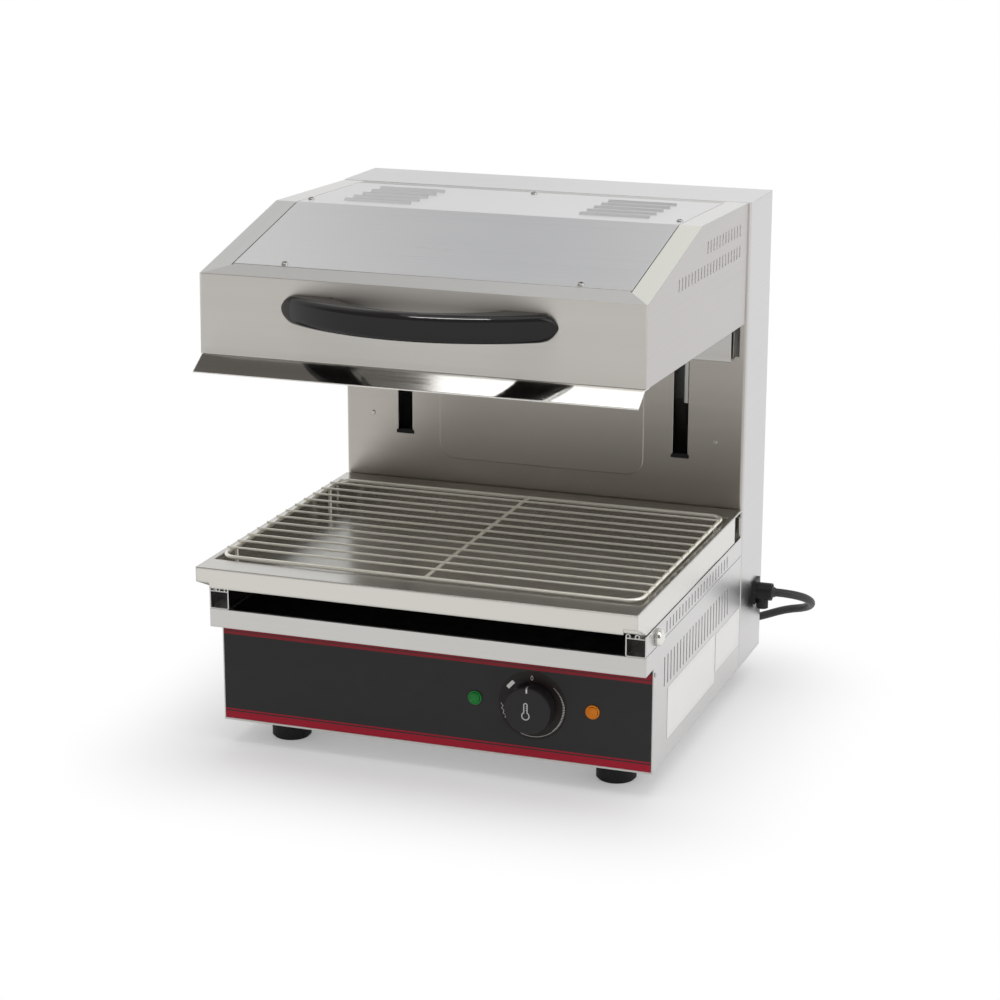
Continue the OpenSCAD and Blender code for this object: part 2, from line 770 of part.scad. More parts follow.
module column_wrap() color(steel) placed() difference() {
  union() {
    difference() {
      translate([0, 0, base_z]) linear_extrude(body_h - sheet - base_z) column_plan(0);
      translate([0, 0, base_z - cut]) linear_extrude(body_h - base_z + cut) column_plan(sheet);
    }
    both_sides()
      box(half_w - sheet - back_flange, half_w - sheet / 2, -2 * sheet, -sheet, base_z, body_h - sheet);
    round_slab(plateau_half, plateau_z, plateau_z + plateau_h, -column_d - plateau_out,
               -column_d + sheet / 2, plateau_r);
  }
  both_sides() {
    box(slot_x - slot_w / 2, slot_x + slot_w / 2, -column_d - cut, -column_d + sheet + cut,
        slot_z, slot_top);
    box(hook_slot_x - hook_slot_w / 2, hook_slot_x + hook_slot_w / 2, -column_d - cut,
        -column_d + sheet + cut, hook_slot_z, hook_slot_z + hook_slot_h);
    rod_y(rivet_x, -column_d - cut, -column_d + sheet + cut, rivet_z, rivet_shank / 2 + screw_play / 2);
    for (z = back_screw_rows)
      rod_y(back_screw_x, -2 * sheet - cut, -sheet + cut, z, screw_dia / 2 + screw_play);
  }
  box(-window_half, window_half, -column_d - cut, -column_d + sheet + cut, window_z, window_z + window_h);
  rod_x(half_w - sheet - cut, half_w + cut, -gland_y, base_z + gland_z, cord_dia / 2 + 2);
}
back_screw_x = half_w - sheet - back_flange / 2;

module column_top() color(steel) placed() {
  translate([0, 0, body_h - sheet]) linear_extrude(sheet) column_plan(0);
  translate([0, 0, body_h - cap_skirt]) linear_extrude(cap_skirt - sheet / 2) difference() {
    column_skirt(sheet + seam);
    column_skirt(2 * sheet + seam);
  }
}

module column_skirt(d) {
  translate([-half_w + column_r + sheet, -column_d + d])
    square([body_w - 2 * (column_r + sheet), column_d - d - 3 * sheet]);
  translate([-half_w + d, -column_d + column_r + sheet])
    square([body_w - 2 * d, column_d - column_r - 4 * sheet]);
}

module column_back() color(steel) placed() difference() {
  box(-inner_half, inner_half, -sheet, 0, base_z, body_h - sheet - seam);
  both_sides() {
    for (z = back_screw_rows) rod_y(back_screw_x, -sheet - cut, cut, z, screw_dia / 2 + screw_play);
    for (i = [0 : back_vents - 1])
      translate([back_vent_x, 0, body_h - back_vent_z - i * back_vent_pitch])
        box(-back_vent_len / 2, back_vent_len / 2, -sheet - cut, cut, 0, back_vent_h);
  }
}

module back_screws() color(dark_steel) placed() both_sides() for (z = back_screw_rows) {
  rod_y(back_screw_x, 0, screw_head_h, z, screw_head / 2);
  rod_y(back_screw_x, -3 * sheet, screw_head_h / 2, z, screw_dia / 2);
}

module panel_rivets() color(steel) placed() both_sides() {
  rod_y(rivet_x, -column_d - rivet_head_h, -column_d, rivet_z, rivet_dia / 2);
  rod_y(rivet_x, -column_d - rivet_head_h / 2, -column_d + 3 * sheet, rivet_z, rivet_shank / 2);
  rod_x(half_w, half_w + rivet_head_h, -side_rivet_y, side_rivet_z, rivet_dia / 2);
  rod_x(half_w - 3 * sheet, half_w + rivet_head_h / 2, -side_rivet_y, side_rivet_z, rivet_shank / 2);
}

module slot_stops() color(rubber) placed() both_sides() {
  lip = 1.5;
  out = slot_w / 2 + lip;
  high = slot_z + stop_h - 1;
  box(slot_x - out, slot_x + out, -column_d - 1.5, -column_d, slot_z - lip, high);
  box(slot_x - out, slot_x + out, -column_d + sheet, -column_d + sheet + 1.5, slot_z - lip, high);
  box(slot_x - slot_w / 2, slot_x + slot_w / 2, -column_d - cut, -column_d + sheet + cut,
      slot_z, slot_z + stop_h);
}

// ---------- Lift ----------

module lift_bracket(z) difference() {
  union() {
    box(-inner_half, inner_half, -column_d + sheet + seam, -3 * sheet, z, z + lift_bracket_t);
    box(-inner_half, inner_half, -column_d + sheet + seam, -column_d + 2 * sheet + seam,
        z, z + lift_bracket_lip);
  }
  both_sides() {
    rod_z(rod_x, -rod_y, z - cut, z + lift_bracket_t + cut, rod_dia / 2 + screw_play);
    box(inner_half - column_r - cap_skirt, inner_half + cut, -column_d, -column_d + column_r + sheet,
        z - cut, z + lift_bracket_lip + cut);
    box(slot_x - slot_w / 2, slot_x + slot_w / 2, -column_d, -column_d + 3 * sheet,
        z - cut, z + lift_bracket_lip + cut);
  }
}

module top_bracket() color(dark_steel) placed() mirror_z(bracket_top_z) lift_bracket(bracket_top_z);
module mirror_z(z) translate([0, 0, 2 * z + lift_bracket_t]) mirror([0, 0, 1]) children();

module bottom_bracket() color(dark_steel) placed() difference() {
  lift_bracket(bracket_low_z);
  box(lead_pass_x, lead_pass_x + lead_pass_w, -column_d + lead_pass_in, -rod_y + rod_dia - cut,
      bracket_low_z - cut, bracket_low_z + lift_bracket_t + cut);
}

module guide_rods() color("silver") placed() both_sides() {
  rod_z(rod_x, -rod_y, bracket_low_z - 4, bracket_top_z + lift_bracket_t + 4, rod_dia / 2);
  for (z = [bracket_low_z + lift_bracket_t + seam, bracket_top_z - seam - collar_h])
    rod_z(rod_x, -rod_y, z, z + collar_h, collar_dia / 2);
}

module bush_places() both_sides()
  for (z = [arm_tail_z + bush_rim, arm_top - bush_rim - bush_len]) translate([rod_x, -rod_y, z]) children();

module carriage_plate() color(dark_steel) placed() difference() {
  union() {
    box(-carriage_half, carriage_half, -carriage_y, -carriage_y + carriage_t, arm_tail_z, arm_top);
    bush_places() box_block();
    both_sides()
      box(spring_x - tab_half, spring_x + tab_half, -carriage_y, -rod_y + tab_half,
          tab_z, tab_z + carriage_t);
    box(-tab_half, tab_half, -carriage_y, -rod_y + tab_half, arm_tail_z, arm_tail_z + carriage_t);
  }
  bush_places() translate([0, 0, -cut])
    cylinder(h = bush_len + 2 * cut, d = rod_dia + 2 * (bush_wall + rod_fit + running_fit));
  both_sides()
    box(window_half - 45, window_half - 25, -carriage_y - cut, -carriage_y + carriage_t + cut,
        arm_top - 60, arm_top - 40);
}

module box_block() translate([-block_half, -carriage_y + rod_y + 0.5 * carriage_t, 0])
  cube([2 * block_half, carriage_y - rod_y - 0.5 * carriage_t + block_half, bush_len]);

module bushings() color(brass) placed() bush_places() difference() {
  union() {
    cylinder(h = bush_len, d = rod_dia + 2 * (bush_wall + rod_fit));
    for (z = [-bush_rim, bush_len])
      translate([0, 0, z]) cylinder(h = bush_rim, d = rod_dia + 2 * bush_wall + 6);
  }
  translate([0, 0, -bush_rim - cut])
    cylinder(h = bush_len + 2 * (bush_rim + cut), d = rod_dia + 2 * rod_fit);
}

// An arm: a plate from the carriage through the column's slot and the head's back plate,
// with a foot inside the head
module arm() {
  foot_y = -head_rear - back_gap - sheet - seam;
  front_top = leaned([foot_y - 1, arm_top]);
  front_low = leaned([foot_y - 1, arm_low]);
  along_x(slot_x - arm_t / 2, slot_x + arm_t / 2) polygon([
    front_low, front_top, [-carriage_y - seam, arm_top], [-carriage_y - seam, arm_tail_z],
    [-arm_tail_y, arm_tail_z], [-arm_tail_y, arm_low]]);
  lean() box(slot_x - arm_foot_half, slot_x + arm_foot_half, foot_y - arm_foot_t, foot_y,
             head_z + flange, arm_top - 8);
}

module arm_left() color(dark_steel) placed() mirror([1, 0, 0]) arm();
module arm_right() color(dark_steel) placed() arm();

spring_low = tab_z + carriage_t + seam + spring_wire / 2;
spring_high = bracket_top_z - seam - spring_wire / 2;
spring_steps = 10;

module spring(x) {
  steps = spring_turns * spring_steps;
  path = [for (i = [0 : steps])
    [x + spring_dia / 2 * cos(360 * i / spring_steps), -rod_y + spring_dia / 2 * sin(360 * i / spring_steps),
     spring_low + (spring_high - spring_low) * i / steps]];
  tube(path, spring_wire / 2, 6, [0, 0, 1]);
}

module spring_left() color("silver") placed() spring(-spring_x);
module spring_right() color("silver") placed() spring(spring_x);

module head_lead() color(black) placed()
  rod_z(0, -rod_y, bracket_low_z + lift_bracket_t, arm_tail_z, lead_dia / 2);

// ---------- Head ----------

module head_shell() color(steel) placed() lean() difference() {
  union() {
    difference() {
      along_x(-head_half, head_half) polygon(head_outline);
      along_x(-head_half + sheet, head_half - sheet) polygon(inset(head_outline, sheet));
    }
    cover_ledges();
  }
  along_x(-cover_half - cover_gap, cover_half + cover_gap)
    polygon(head_layer(strip_front, cover_rear - cover_gap, -cut, sheet + ledge_fit));
  box(-head_half + flange, head_half - flange, -head_d + flange, -head_rear - sheet - cut,
      head_z - cut, head_z + 2 * sheet);
  box(-rear_flange_half, rear_flange_half, -head_rear - 2 * sheet, -head_rear + cut,
      head_z - cut, head_top - flange);
  box(-back_half - seam, back_half + seam, -head_rear - back_gap - sheet - seam, -head_rear - sheet,
      head_z - cut, head_z + 2 * sheet);
  both_sides() {
    vent_row(vent_upper_count, vent_upper_y, vent_upper_z, vent_h);
    vent_row(vent_lower_count, vent_lower_y, vent_lower_z, vent_h);
    rod_y(handle_screw_x, -head_d - cut, -head_d + sheet + cut, head_z + handle_z,
          handle_screw_dia / 2 + screw_play);
  }
  cover_screw_places()
    translate([0, 0, -3 * sheet]) cylinder(h = 3 * sheet + cut, d = cover_screw_dia + 2 * screw_play);
}

// Strips under the edge of the cover's opening, which the cover is screwed to
module cover_ledges() {
  top = sheet / 2;
  low = 2 * sheet + ledge_fit;
  s0 = strip_front - ledge;
  s1 = strip_front + ledge;
  both_sides() along_x(cover_half - ledge, head_half - sheet / 2)
    polygon(head_layer(s0, cover_rear - ledge / 2, top, low));
  along_x(-cover_half + ledge / 2, cover_half - ledge / 2)
    polygon([slope_at(s0, top), slope_at(s1, top), slope_at(s1, low), slope_at(s0, low)]);
  box(-cover_half + ledge / 2, cover_half - ledge / 2, -cover_rear - ledge, -cover_rear + ledge / 2,
      head_top - low, head_top - top);
}

module head_back() color(steel) placed() lean() difference() {
  box(-back_half, back_half, -head_rear - back_gap - sheet, -head_rear - back_gap,
      head_z - back_drop, head_top - sheet - 3);
  both_sides()
    box(slot_x - arm_t / 2 - seam, slot_x + arm_t / 2 + seam, -head_rear - back_gap - sheet - cut,
        -head_rear - back_gap + cut, arm_low - 2, arm_top + 2);
}

module cover_screw_places() {
  for (x = [-slope_screw_x, slope_screw_x])
    translate([x, slope_at(strip_front + cover_screw_in, 0).x, slope_at(strip_front + cover_screw_in, 0).y])
      rotate([slope_tilt, 0, 0]) children();
  for (x = [-top_screw_x, top_screw_x]) translate([x, -top_screw_y, head_top]) children();
  translate([0, -cover_rear - rear_screw_in, head_top]) children();
}

module louvre_places() both_sides()
  for (i = [0 : louvre_count - 1])
    translate([louvre_x, -louvre_first - i * louvre_pitch, head_top]) children();

module head_cover() color(steel) placed() lean() {
  difference() {
    along_x(-cover_half, cover_half) polygon(head_layer(strip_front + cover_gap, cover_rear, 0, sheet));
    louvre_places()
      box(-louvre_len / 2, louvre_len / 2, -louvre_w / 2, louvre_w / 2, -sheet - cut, cut);
    cover_screw_places() translate([0, 0, -sheet - cut])
      cylinder(h = sheet + 2 * cut, d = cover_screw_dia + 2 * screw_play);
  }
  louvre_places() along_x(-louvre_len / 2, louvre_len / 2)
    polygon([[louvre_w / 2, louvre_rise], [louvre_w / 2, louvre_rise - 0.8], [-louvre_w / 2, 0],
             [-louvre_w / 2, -sheet / 2], [-louvre_w / 2 - 1.5, -sheet / 2], [-louvre_w / 2 - 1.5, 0]]);
}

module cover_screws() color(dark_steel) placed() lean() cover_screw_places() {
  translate([0, 0, ledge_fit / 2]) cylinder(h = screw_head_h, d = cover_screw_head);
  translate([0, 0, -3 * sheet]) cylinder(h = 3 * sheet + screw_head_h / 2, d = cover_screw_dia);
}

module deflector() color("silver") placed() lean() {
  fold = head_z - seam;
  along_x(-head_half + 1, head_half - 1) polygon([
    [-head_d + flange, fold], [-head_d, fold], [-head_d - deflector_out, fold - deflector_drop],
    [-head_d - deflector_out, fold - deflector_drop - sheet], [-head_d, fold - sheet],
    [-head_d + flange, fold - sheet]]);
}

module handle_plan(inset_by) difference() {
  translate([0, -head_d - handle_out + bow_r]) circle(bow_r - inset_by, $fn = 96);
  translate([-body_w, -head_d]) square([2 * body_w, body_w + 2 * bow_r]);
  translate([0, -head_d - gap_out + gap_r]) circle(gap_r, $fn = 96);
}

module handle() color(black) placed() lean() difference() {
  union() {
    translate([0, 0, head_z + handle_z - handle_h / 2]) linear_extrude(handle_h) handle_plan(bow_round);
    intersection() {
      translate([0, -head_d - handle_out + bow_r, head_z + handle_z]) rotate_extrude($fn = 96)
        translate([bow_r - handle_t, -handle_h / 2]) {
          translate([0, bow_round]) square([handle_t, handle_h - 2 * bow_round]);
          square([handle_t - bow_round, handle_h]);
          for (z = [bow_round, handle_h - bow_round]) translate([handle_t - bow_round, z]) circle(bow_round);
        }
      round_slab(handle_half, head_z + handle_z - handle_h / 2, head_z + handle_z + handle_h / 2,
                 -head_d - handle_out - cut, -head_d, handle_h / 2 - 0.5);
    }
  }
  both_sides() rod_y(handle_screw_x, -head_d - handle_sink, -head_d + cut, head_z + handle_z,
                     handle_screw_dia / 2 + running_fit);
}

module handle_screws() color(steel) placed() lean() both_sides() {
  rod_y(handle_screw_x, -head_d - handle_sink + 1, -head_d + sheet + 1, head_z + handle_z,
        handle_screw_dia / 2);
  rod_y(handle_screw_x, -head_d + sheet, -head_d + sheet + 3, head_z + handle_z, handle_screw_dia);
}

// ---------- Heating ----------

reflector_half = head_half - flange - reflector_side;
reflector_front = head_d - flange - reflector_side / 2;
reflector_rear = head_rear + flange;
reflector_low = head_z + sheet;
reflector_top = head_z + reflector_h;
element_half = reflector_half + terminal_reach;
middle_y = (reflector_front + reflector_rear) / 2;

module element_cuts(x0, x1)
  for (i = [-1 : 1], s = [-1, 1])
    rod_x(x0, x1, -middle_y + i * element_step + s * element_pitch / 2, head_z + element_z,
          element_dia / 2 + element_fit);

module reflector() color("silver") placed() lean() difference() {
  union() {
    box(-reflector_half, reflector_half, -reflector_front, -reflector_rear, reflector_low, reflector_top);
    box(-reflector_half - reflector_rim, reflector_half + reflector_rim, -reflector_front - reflector_rim,
        -reflector_rear + reflector_side, reflector_low, reflector_low + reflector_t);
  }
  box(-reflector_half + reflector_t, reflector_half - reflector_t, -reflector_front + reflector_t,
      -reflector_rear - reflector_t, reflector_low - cut, reflector_top - reflector_t);
  element_cuts(reflector_half - reflector_t - cut, reflector_half + cut);
}

module insulation() color("wheat") placed() lean()
  box(-reflector_half, reflector_half, -reflector_front, -reflector_rear,
      reflector_top, reflector_top + insulation_t);

module element(i) color("#6e6a66") placed() lean() {
  y = -middle_y + i * element_step;
  bend_x = -reflector_half + reflector_t + element_pitch / 2 + element_dia;
  for (s = [-1, 1])
    rod_x(bend_x, element_half, y + s * element_pitch / 2, head_z + element_z, element_dia / 2);
  intersection() {
    translate([bend_x, y, head_z + element_z]) rotate_extrude()
      translate([element_pitch / 2, 0]) circle(element_dia / 2);
    box(bend_x - element_pitch, bend_x, y - element_pitch, y + element_pitch,
        head_z, head_z + 2 * element_z);
  }
}

module element_front() element(-1);
module element_middle() element(0);
module element_rear() element(1);

module element_bracket(x) color(steel) placed() lean() difference() {
  translate([x, -middle_y, head_z + element_z])
    box(-bracket_t / 2, bracket_t / 2, -element_step - element_pitch, element_step + element_pitch,
        -element_dia, reflector_h - element_z - reflector_t);
  element_cuts(x - bracket_t, x + bracket_t);
}

module element_bracket_left() element_bracket(-bracket_x);
module element_bracket_right() element_bracket(bracket_x);

// ---------- Tray and rack ----------

module drip_tray() color(steel) placed() {
  difference() {
    box(-half_w, half_w, -pan_front, -pan_rear, tray_z, tray_top);
    box(-half_w + sheet, half_w - sheet, -pan_front + sheet, -pan_rear - sheet,
        tray_z + sheet, tray_top - sheet);
    box(-half_w + hem_w, half_w - hem_w, -pan_front + sheet, -pan_rear - sheet,
        tray_top - 2 * sheet, tray_top + cut);
  }
  box(-half_w, half_w, -tray_lip_y, -pan_front + sheet / 2, tray_top - sheet, tray_top);
  difference() {
    box(-half_w, half_w, -tray_lip_y, -tray_lip_y + sheet, tray_top - tray_face_h, tray_top);
    both_sides()
      box(half_w - notch_w, half_w + cut, -tray_lip_y - cut, -tray_lip_y + sheet + cut,
          tray_top - tray_face_h - cut, tray_top - tray_face_h + notch_h);
  }
  both_sides() along_x(half_w - sheet, half_w) polygon([
    [-tray_lip_y + sheet / 2, tray_top - tray_face_h + notch_h], [-tray_lip_y + sheet / 2, tray_top],
    [-pan_front + sheet / 2, tray_top], [-pan_front + sheet / 2, tray_z]]);
  box(-half_w, half_w, -pan_rear - sheet / 2, -tray_rear_y, tray_top - sheet, tray_top);
  box(-half_w, half_w, -tray_rear_y - sheet, -tray_rear_y, tray_top - rear_turn, tray_top);
}

module wire_rack() color(steel) placed() {
  r = frame_wire / 2;
  bend = rack_r + wire_fit;
  for (x = [-rack_half, rack_half]) rod_y(x, -rack_front + bend, -rack_rear - bend, rack_z, r);
  for (y = [-rack_front, -rack_rear]) rod_x(-rack_half + bend, rack_half - bend, y, rack_z, r);
  for (x = [-1, 1], y = [-1, 1])
    translate([x * (rack_half - rack_r), y > 0 ? -rack_rear - rack_r : -rack_front + rack_r, rack_z])
      intersection() {
        rotate_extrude() translate([rack_r, 0]) circle(r);
        translate([x > 0 ? 0 : -2 * rack_r, y > 0 ? 0 : -2 * rack_r, -frame_wire])
          cube([2 * rack_r, 2 * rack_r, 2 * frame_wire]);
      }
  rod_y(0, -rack_front + r + wire_fit, -rack_rear - r - wire_fit, rack_z + (frame_wire - bar_wire) / 2,
        bar_wire / 2);
  for (i = [0 : cross_count - 1])
    rod_x(-cross_half, cross_half, -cross_first + i * cross_pitch, cross_z, cross_wire / 2);
  for (x = [-rack_half, rack_half], y = [-rack_front + rack_r + 20, -rack_rear - rack_r - 20])
    rod_z(x, y, tray_z + sheet + seam, rack_z - r - wire_fit, bar_wire / 2);
}

// ---------- Mains lead ----------

module cord_gland() color(black) placed() difference() {
  z = base_z + gland_z;
  union() {
    box(half_w, half_w + gland_flange_t, -gland_y - gland_flange_half, -gland_y + gland_flange_half,
        z - gland_flange_low, z + gland_flange_high);
    rod_x(half_w, half_w + gland_out - 2, -gland_y, z, gland_body_r);
    rod_z(half_w + gland_boss_x, -gland_y, z - gland_boss_down, z, gland_boss_r);
    rod_x(half_w - 8, half_w + cut, -gland_y, z, cord_dia / 2 + 1.8);
  }
  rod_x(half_w - 8 - cut, half_w + gland_out, -gland_y, z, cord_dia / 2 + 0.5);
  rod_x(half_w + sleeve_seat, half_w + gland_out, -gland_y, z, cord_dia / 2 + 3.5);
}

module cord_sleeve() color(black) placed() {
  start = half_w + sleeve_seat + seam;
  reach = cord_route[0].x - start;
  translate([start, -gland_y, base_z + gland_z]) rotate([0, 90, 0]) rotate_extrude() polygon([
    [0, 0], [cord_dia / 2 + 3.2, 0], [cord_dia / 2 + 2.6, gland_out - 4], [cord_dia / 2 + 0.6, reach],
    [0, reach]]);
}

module cord_tube() color(black) placed() tube(cord_route, cord_dia / 2, 10, [0, 0, 1]);

module cord_coil() color(black) placed() translate([coil_x, coil_y, coil_z]) rotate_extrude()
  translate([coil_mean / 2 - cord_dia, 0]) square(2 * cord_dia);

module plug() color(black) placed() translate([plug_x, plug_y, plug_z]) rotate([0, -90, 0]) {
  rotate_extrude() polygon([
    [0, 0], [plug_neck - 1.5, 0], [plug_neck, plug_neck_len], [plug_waist, plug_neck_len + 3],
    [plug_dia / 2 - 1, plug_len - 12], [plug_dia / 2, plug_len - 9], [plug_dia / 2, plug_len],
    [0, plug_len]]);
  for (y = [-pin_gap / 2, pin_gap / 2])
    translate([0, y, plug_len - cut]) cylinder(h = pin_len + cut, d = pin_dia);
}

// ---------- Assembly ----------

base_bottom();
side_panel_left();
side_panel_right();
control_panel();
fascia_sheet();
nose_trim();
deck_plate();
rail_left();
rail_right();
rail_screws();
thermostat();
lamp_green();
lamp_orange();
terminal_block();
wiring();
foot_front_left();
foot_front_right();
foot_rear_left();
foot_rear_right();
foot_screws();
side_labels();
column_wrap();
column_top();
column_back();
back_screws();
panel_rivets();
guide_rods();
top_bracket();
bottom_bracket();
slot_stops();
head_lead();
cord_gland();
cord_sleeve();
cord_tube();
cord_coil();
plug();
carriage_plate();
bushings();
arm_left();
arm_right();
head_shell();
head_back();
head_cover();
cover_screws();
deflector();
handle();
handle_screws();
reflector();
insulation();
element_front();
element_middle();
element_rear();
element_bracket_left();
element_bracket_right();
spring_left();
spring_right();
drip_tray();
wire_rack();
knob();
spindle();
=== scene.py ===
# %% [markdown]
# A counter-top grill whose heated head rides up and down on a column. The solids come from
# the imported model, and this lesson gives them their finish, their light and the parts that
# a solid model leaves plain: the knob, the lamps, the handle, the screws and the mains lead.
# Everything is in metres and in one frame: X to the right, Y to the back, Z up.

# %% Load the solids
import json
import math

import bmesh
import bpy
from mathutils import Matrix, Vector


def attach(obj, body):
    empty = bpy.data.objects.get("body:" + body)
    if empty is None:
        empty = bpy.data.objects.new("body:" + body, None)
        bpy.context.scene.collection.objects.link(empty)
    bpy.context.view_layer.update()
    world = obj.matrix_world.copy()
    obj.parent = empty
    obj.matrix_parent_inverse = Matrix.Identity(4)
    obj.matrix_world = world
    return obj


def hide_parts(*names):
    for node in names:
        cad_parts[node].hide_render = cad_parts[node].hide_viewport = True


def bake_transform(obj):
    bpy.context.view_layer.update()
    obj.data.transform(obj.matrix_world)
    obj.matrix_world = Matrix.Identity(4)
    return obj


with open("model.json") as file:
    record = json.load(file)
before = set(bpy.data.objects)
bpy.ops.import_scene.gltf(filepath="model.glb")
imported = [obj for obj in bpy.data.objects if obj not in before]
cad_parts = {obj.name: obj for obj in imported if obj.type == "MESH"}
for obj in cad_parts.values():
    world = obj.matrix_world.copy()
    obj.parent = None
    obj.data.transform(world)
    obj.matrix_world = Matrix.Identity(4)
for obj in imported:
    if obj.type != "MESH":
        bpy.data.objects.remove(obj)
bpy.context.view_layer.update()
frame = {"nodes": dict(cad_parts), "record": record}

MM = 0.001
MID_Y = 250.02  # the source's own y = 0, the rear of the column, stands here, in millimetres
made = []       # each new piece with the name of its finish


def at(x, y, z):
    """A point of the source, in millimetres from the column's rear, as metres in the frame."""
    return Vector((x * MM, (y + MID_Y) * MM, z * MM))


def unselect():
    """Back to object mode with nothing selected, because an operator works on all that is."""
    if bpy.context.mode != "OBJECT":
        bpy.ops.object.mode_set(mode="OBJECT")
    bpy.ops.object.select_all(action="DESELECT")


unselect()

# %% [markdown]
# The camera stands nearly three metres off, above the grill and to its right, with a long
# lens. A long lens keeps the sheet-metal edges almost parallel, as in a catalogue picture.
# It is placed by its own three directions, so that nothing depends on the order of angles.

# %% Camera
YAW, PITCH, ROLL = math.radians(19.60), math.radians(15.64), math.radians(0.14)
FOCAL_SHARE = 2.6154  # focal length as a share of the frame's width
CAMERA_PLACE = (0.8723, -2.4182, 0.9559)

level = math.cos(PITCH)
ahead = Vector((-math.sin(YAW) * level, math.cos(YAW) * level, -math.sin(PITCH)))
right = Vector((math.cos(YAW), math.sin(YAW), 0))
upward = right.cross(ahead)
right, upward = (right * math.cos(ROLL) + upward * math.sin(ROLL),
                 upward * math.cos(ROLL) - right * math.sin(ROLL))
camera_data = bpy.data.cameras.new("camera")
camera_data.sensor_width = 36
camera_data.lens = camera_data.sensor_width * FOCAL_SHARE
camera_data.clip_end = 100
camera = bpy.data.objects.new("camera", camera_data)
bpy.context.scene.collection.objects.link(camera)
turn = Matrix((right, upward, -ahead)).transposed().to_4x4()
camera.matrix_world = Matrix.Translation(CAMERA_PLACE) @ turn
bpy.context.scene.camera = camera
print("camera lens, mm:", round(camera_data.lens, 2))

# %% [markdown]
# The mains lead is a rubber-sheathed cable 9 mm thick. It leaves the gland on the column's
# right side, bends round in a stiff loop behind the column and lies down on the counter. The
# spare length is wound there into a coil of four turns, two beside each other and two on top.
# Its route is a list of places, close together where it bends and further apart where it lies.

# %% The lead's route
CORD_DIA = 9.0
cord_route = [
    (247, -25, 97), (256.5, -23, 96.5), (268.5, -16.5, 93.5), (276.5, -6.5, 88.5), (280, 3.5, 82.5),
    (279.5, 14.5, 76), (274.5, 25.5, 69), (264, 34, 63), (252, 38, 60), (237, 40, 55),
    (219, 41, 47), (198, 38, 41), (179, 37, 32), (160, 35, 23), (142, 31, 15),
    (123, 27, 8), (103, 25, 5), (83, 24, 5)]
print("route points:", len(cord_route))

# %% [markdown]
# A cable is wound by laying each turn against the one before it. Seen in a cut across the coil,
# a turn sits on its neighbour like a coin that rolls round another: outside, on top, inside.
# Each turn changes its place in its last quarter, and the step between is eased at both ends.

# %% The coil
COIL_X, COIL_Y = 60, 79
COIL_OUT, COIL_IN, COIL_LOW = 54.5, 45.5, 5.0
LAY = CORD_DIA + 0.1  # from middle to middle where two turns touch
PLUG_END = (30, 24, 19)


def coil_point(turn_no, share):
    """Radius and height of a turn where it changes place, as share goes from 0 to 1.
    Each turn rolls over the one before it, so that they touch and never cut."""
    r, z = COIL_OUT + (COIL_IN - COIL_OUT) * share, COIL_LOW
    for start, end in [(180, 90), (90, 0), (0, 90)][:turn_no]:
        angle = math.radians(start + (end - start) * share)
        r, z = r + LAY * math.cos(angle), z + LAY * math.sin(angle)
    return r, z


def coil_points(turns=4, steps=24, change=0.25):
    points = []
    for i in range(turns * steps + 1):
        turn_no = min(i // steps, turns - 1)
        part = i / steps - turn_no
        share = max(0.0, (part - 1 + change) / change)
        share = share * share * (3 - 2 * share)
        r, z = coil_point(turn_no, share)
        angle = -math.pi / 2 - 2 * math.pi * part
        points.append((COIL_X + r * math.cos(angle), COIL_Y + r * math.sin(angle), z))
    return points


coil_route = coil_points() + [(45, 24.2, 21.4), PLUG_END]
print("coil, mm across:", 2 * COIL_OUT + CORD_DIA)

# %% [markdown]
# The route's points are joined by one smooth line, a B-spline, which has no sudden bends. Its
# length is the lead's real length, because a cable neither grows nor shrinks where it bends.

# %% One smooth line


def smooth(points, steps):
    """Points along one smooth line, which rounds off the corners between the given ones."""
    ends = [2 * points[0] - points[1]] + points + [2 * points[-1] - points[-2]]
    line = []
    for a, b, c, d in zip(ends, ends[1:], ends[2:], ends[3:]):
        for k in range(steps):
            t = k / steps
            line.append((a * (1 - t) ** 3 + b * (3 * t ** 3 - 6 * t ** 2 + 4)
                         + c * (-3 * t ** 3 + 3 * t ** 2 + 3 * t + 1) + d * t ** 3) / 6)
    return line + [points[-1]]


cord_line = smooth([at(*p) for p in cord_route + coil_route], 4)
cord_length = sum((b - a).length for a, b in zip(cord_line, cord_line[1:]))
print("lead, m:", round(cord_length, 3))

# %% [markdown]
# A curve with a round bevel is a tube along the line, and it is then turned into a mesh. The
# frame is told that the lead moves with the base and stands for the cable's plain solids.

# %% The lead's tube


def curve_tube(name, line, radius, sides=5):
    """A round tube along a line: a curve with a round bevel, turned into a mesh."""
    unselect()
    data = bpy.data.curves.new(name, "CURVE")
    data.dimensions = "3D"
    data.bevel_depth = radius
    data.bevel_resolution = sides
    data.use_fill_caps = True
    spline = data.splines.new("POLY")
    spline.points.add(len(line) - 1)
    for place, point in zip(spline.points, line):
        place.co = (*point, 1)
    tube = bpy.data.objects.new(name, data)
    bpy.context.scene.collection.objects.link(tube)
    tube.select_set(True)
    bpy.context.view_layer.objects.active = tube
    bpy.ops.object.convert(target="MESH")
    bpy.ops.object.shade_smooth_by_angle(angle=math.radians(50))
    return bpy.context.object


mains_lead = curve_tube("mains_lead", cord_line, CORD_DIA / 2 * MM)
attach(mains_lead, "base")
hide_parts("cord_tube", "cord_coil")
made.append((mains_lead, "cable_sheath"))
print("lead faces:", len(mains_lead.data.polygons))

# %% [markdown]
# In edit mode an operator works on what is selected. By hand one clicks on a face; a script
# chooses faces by a test, such as where they are or which way they look.

# %% Choosing faces in edit mode


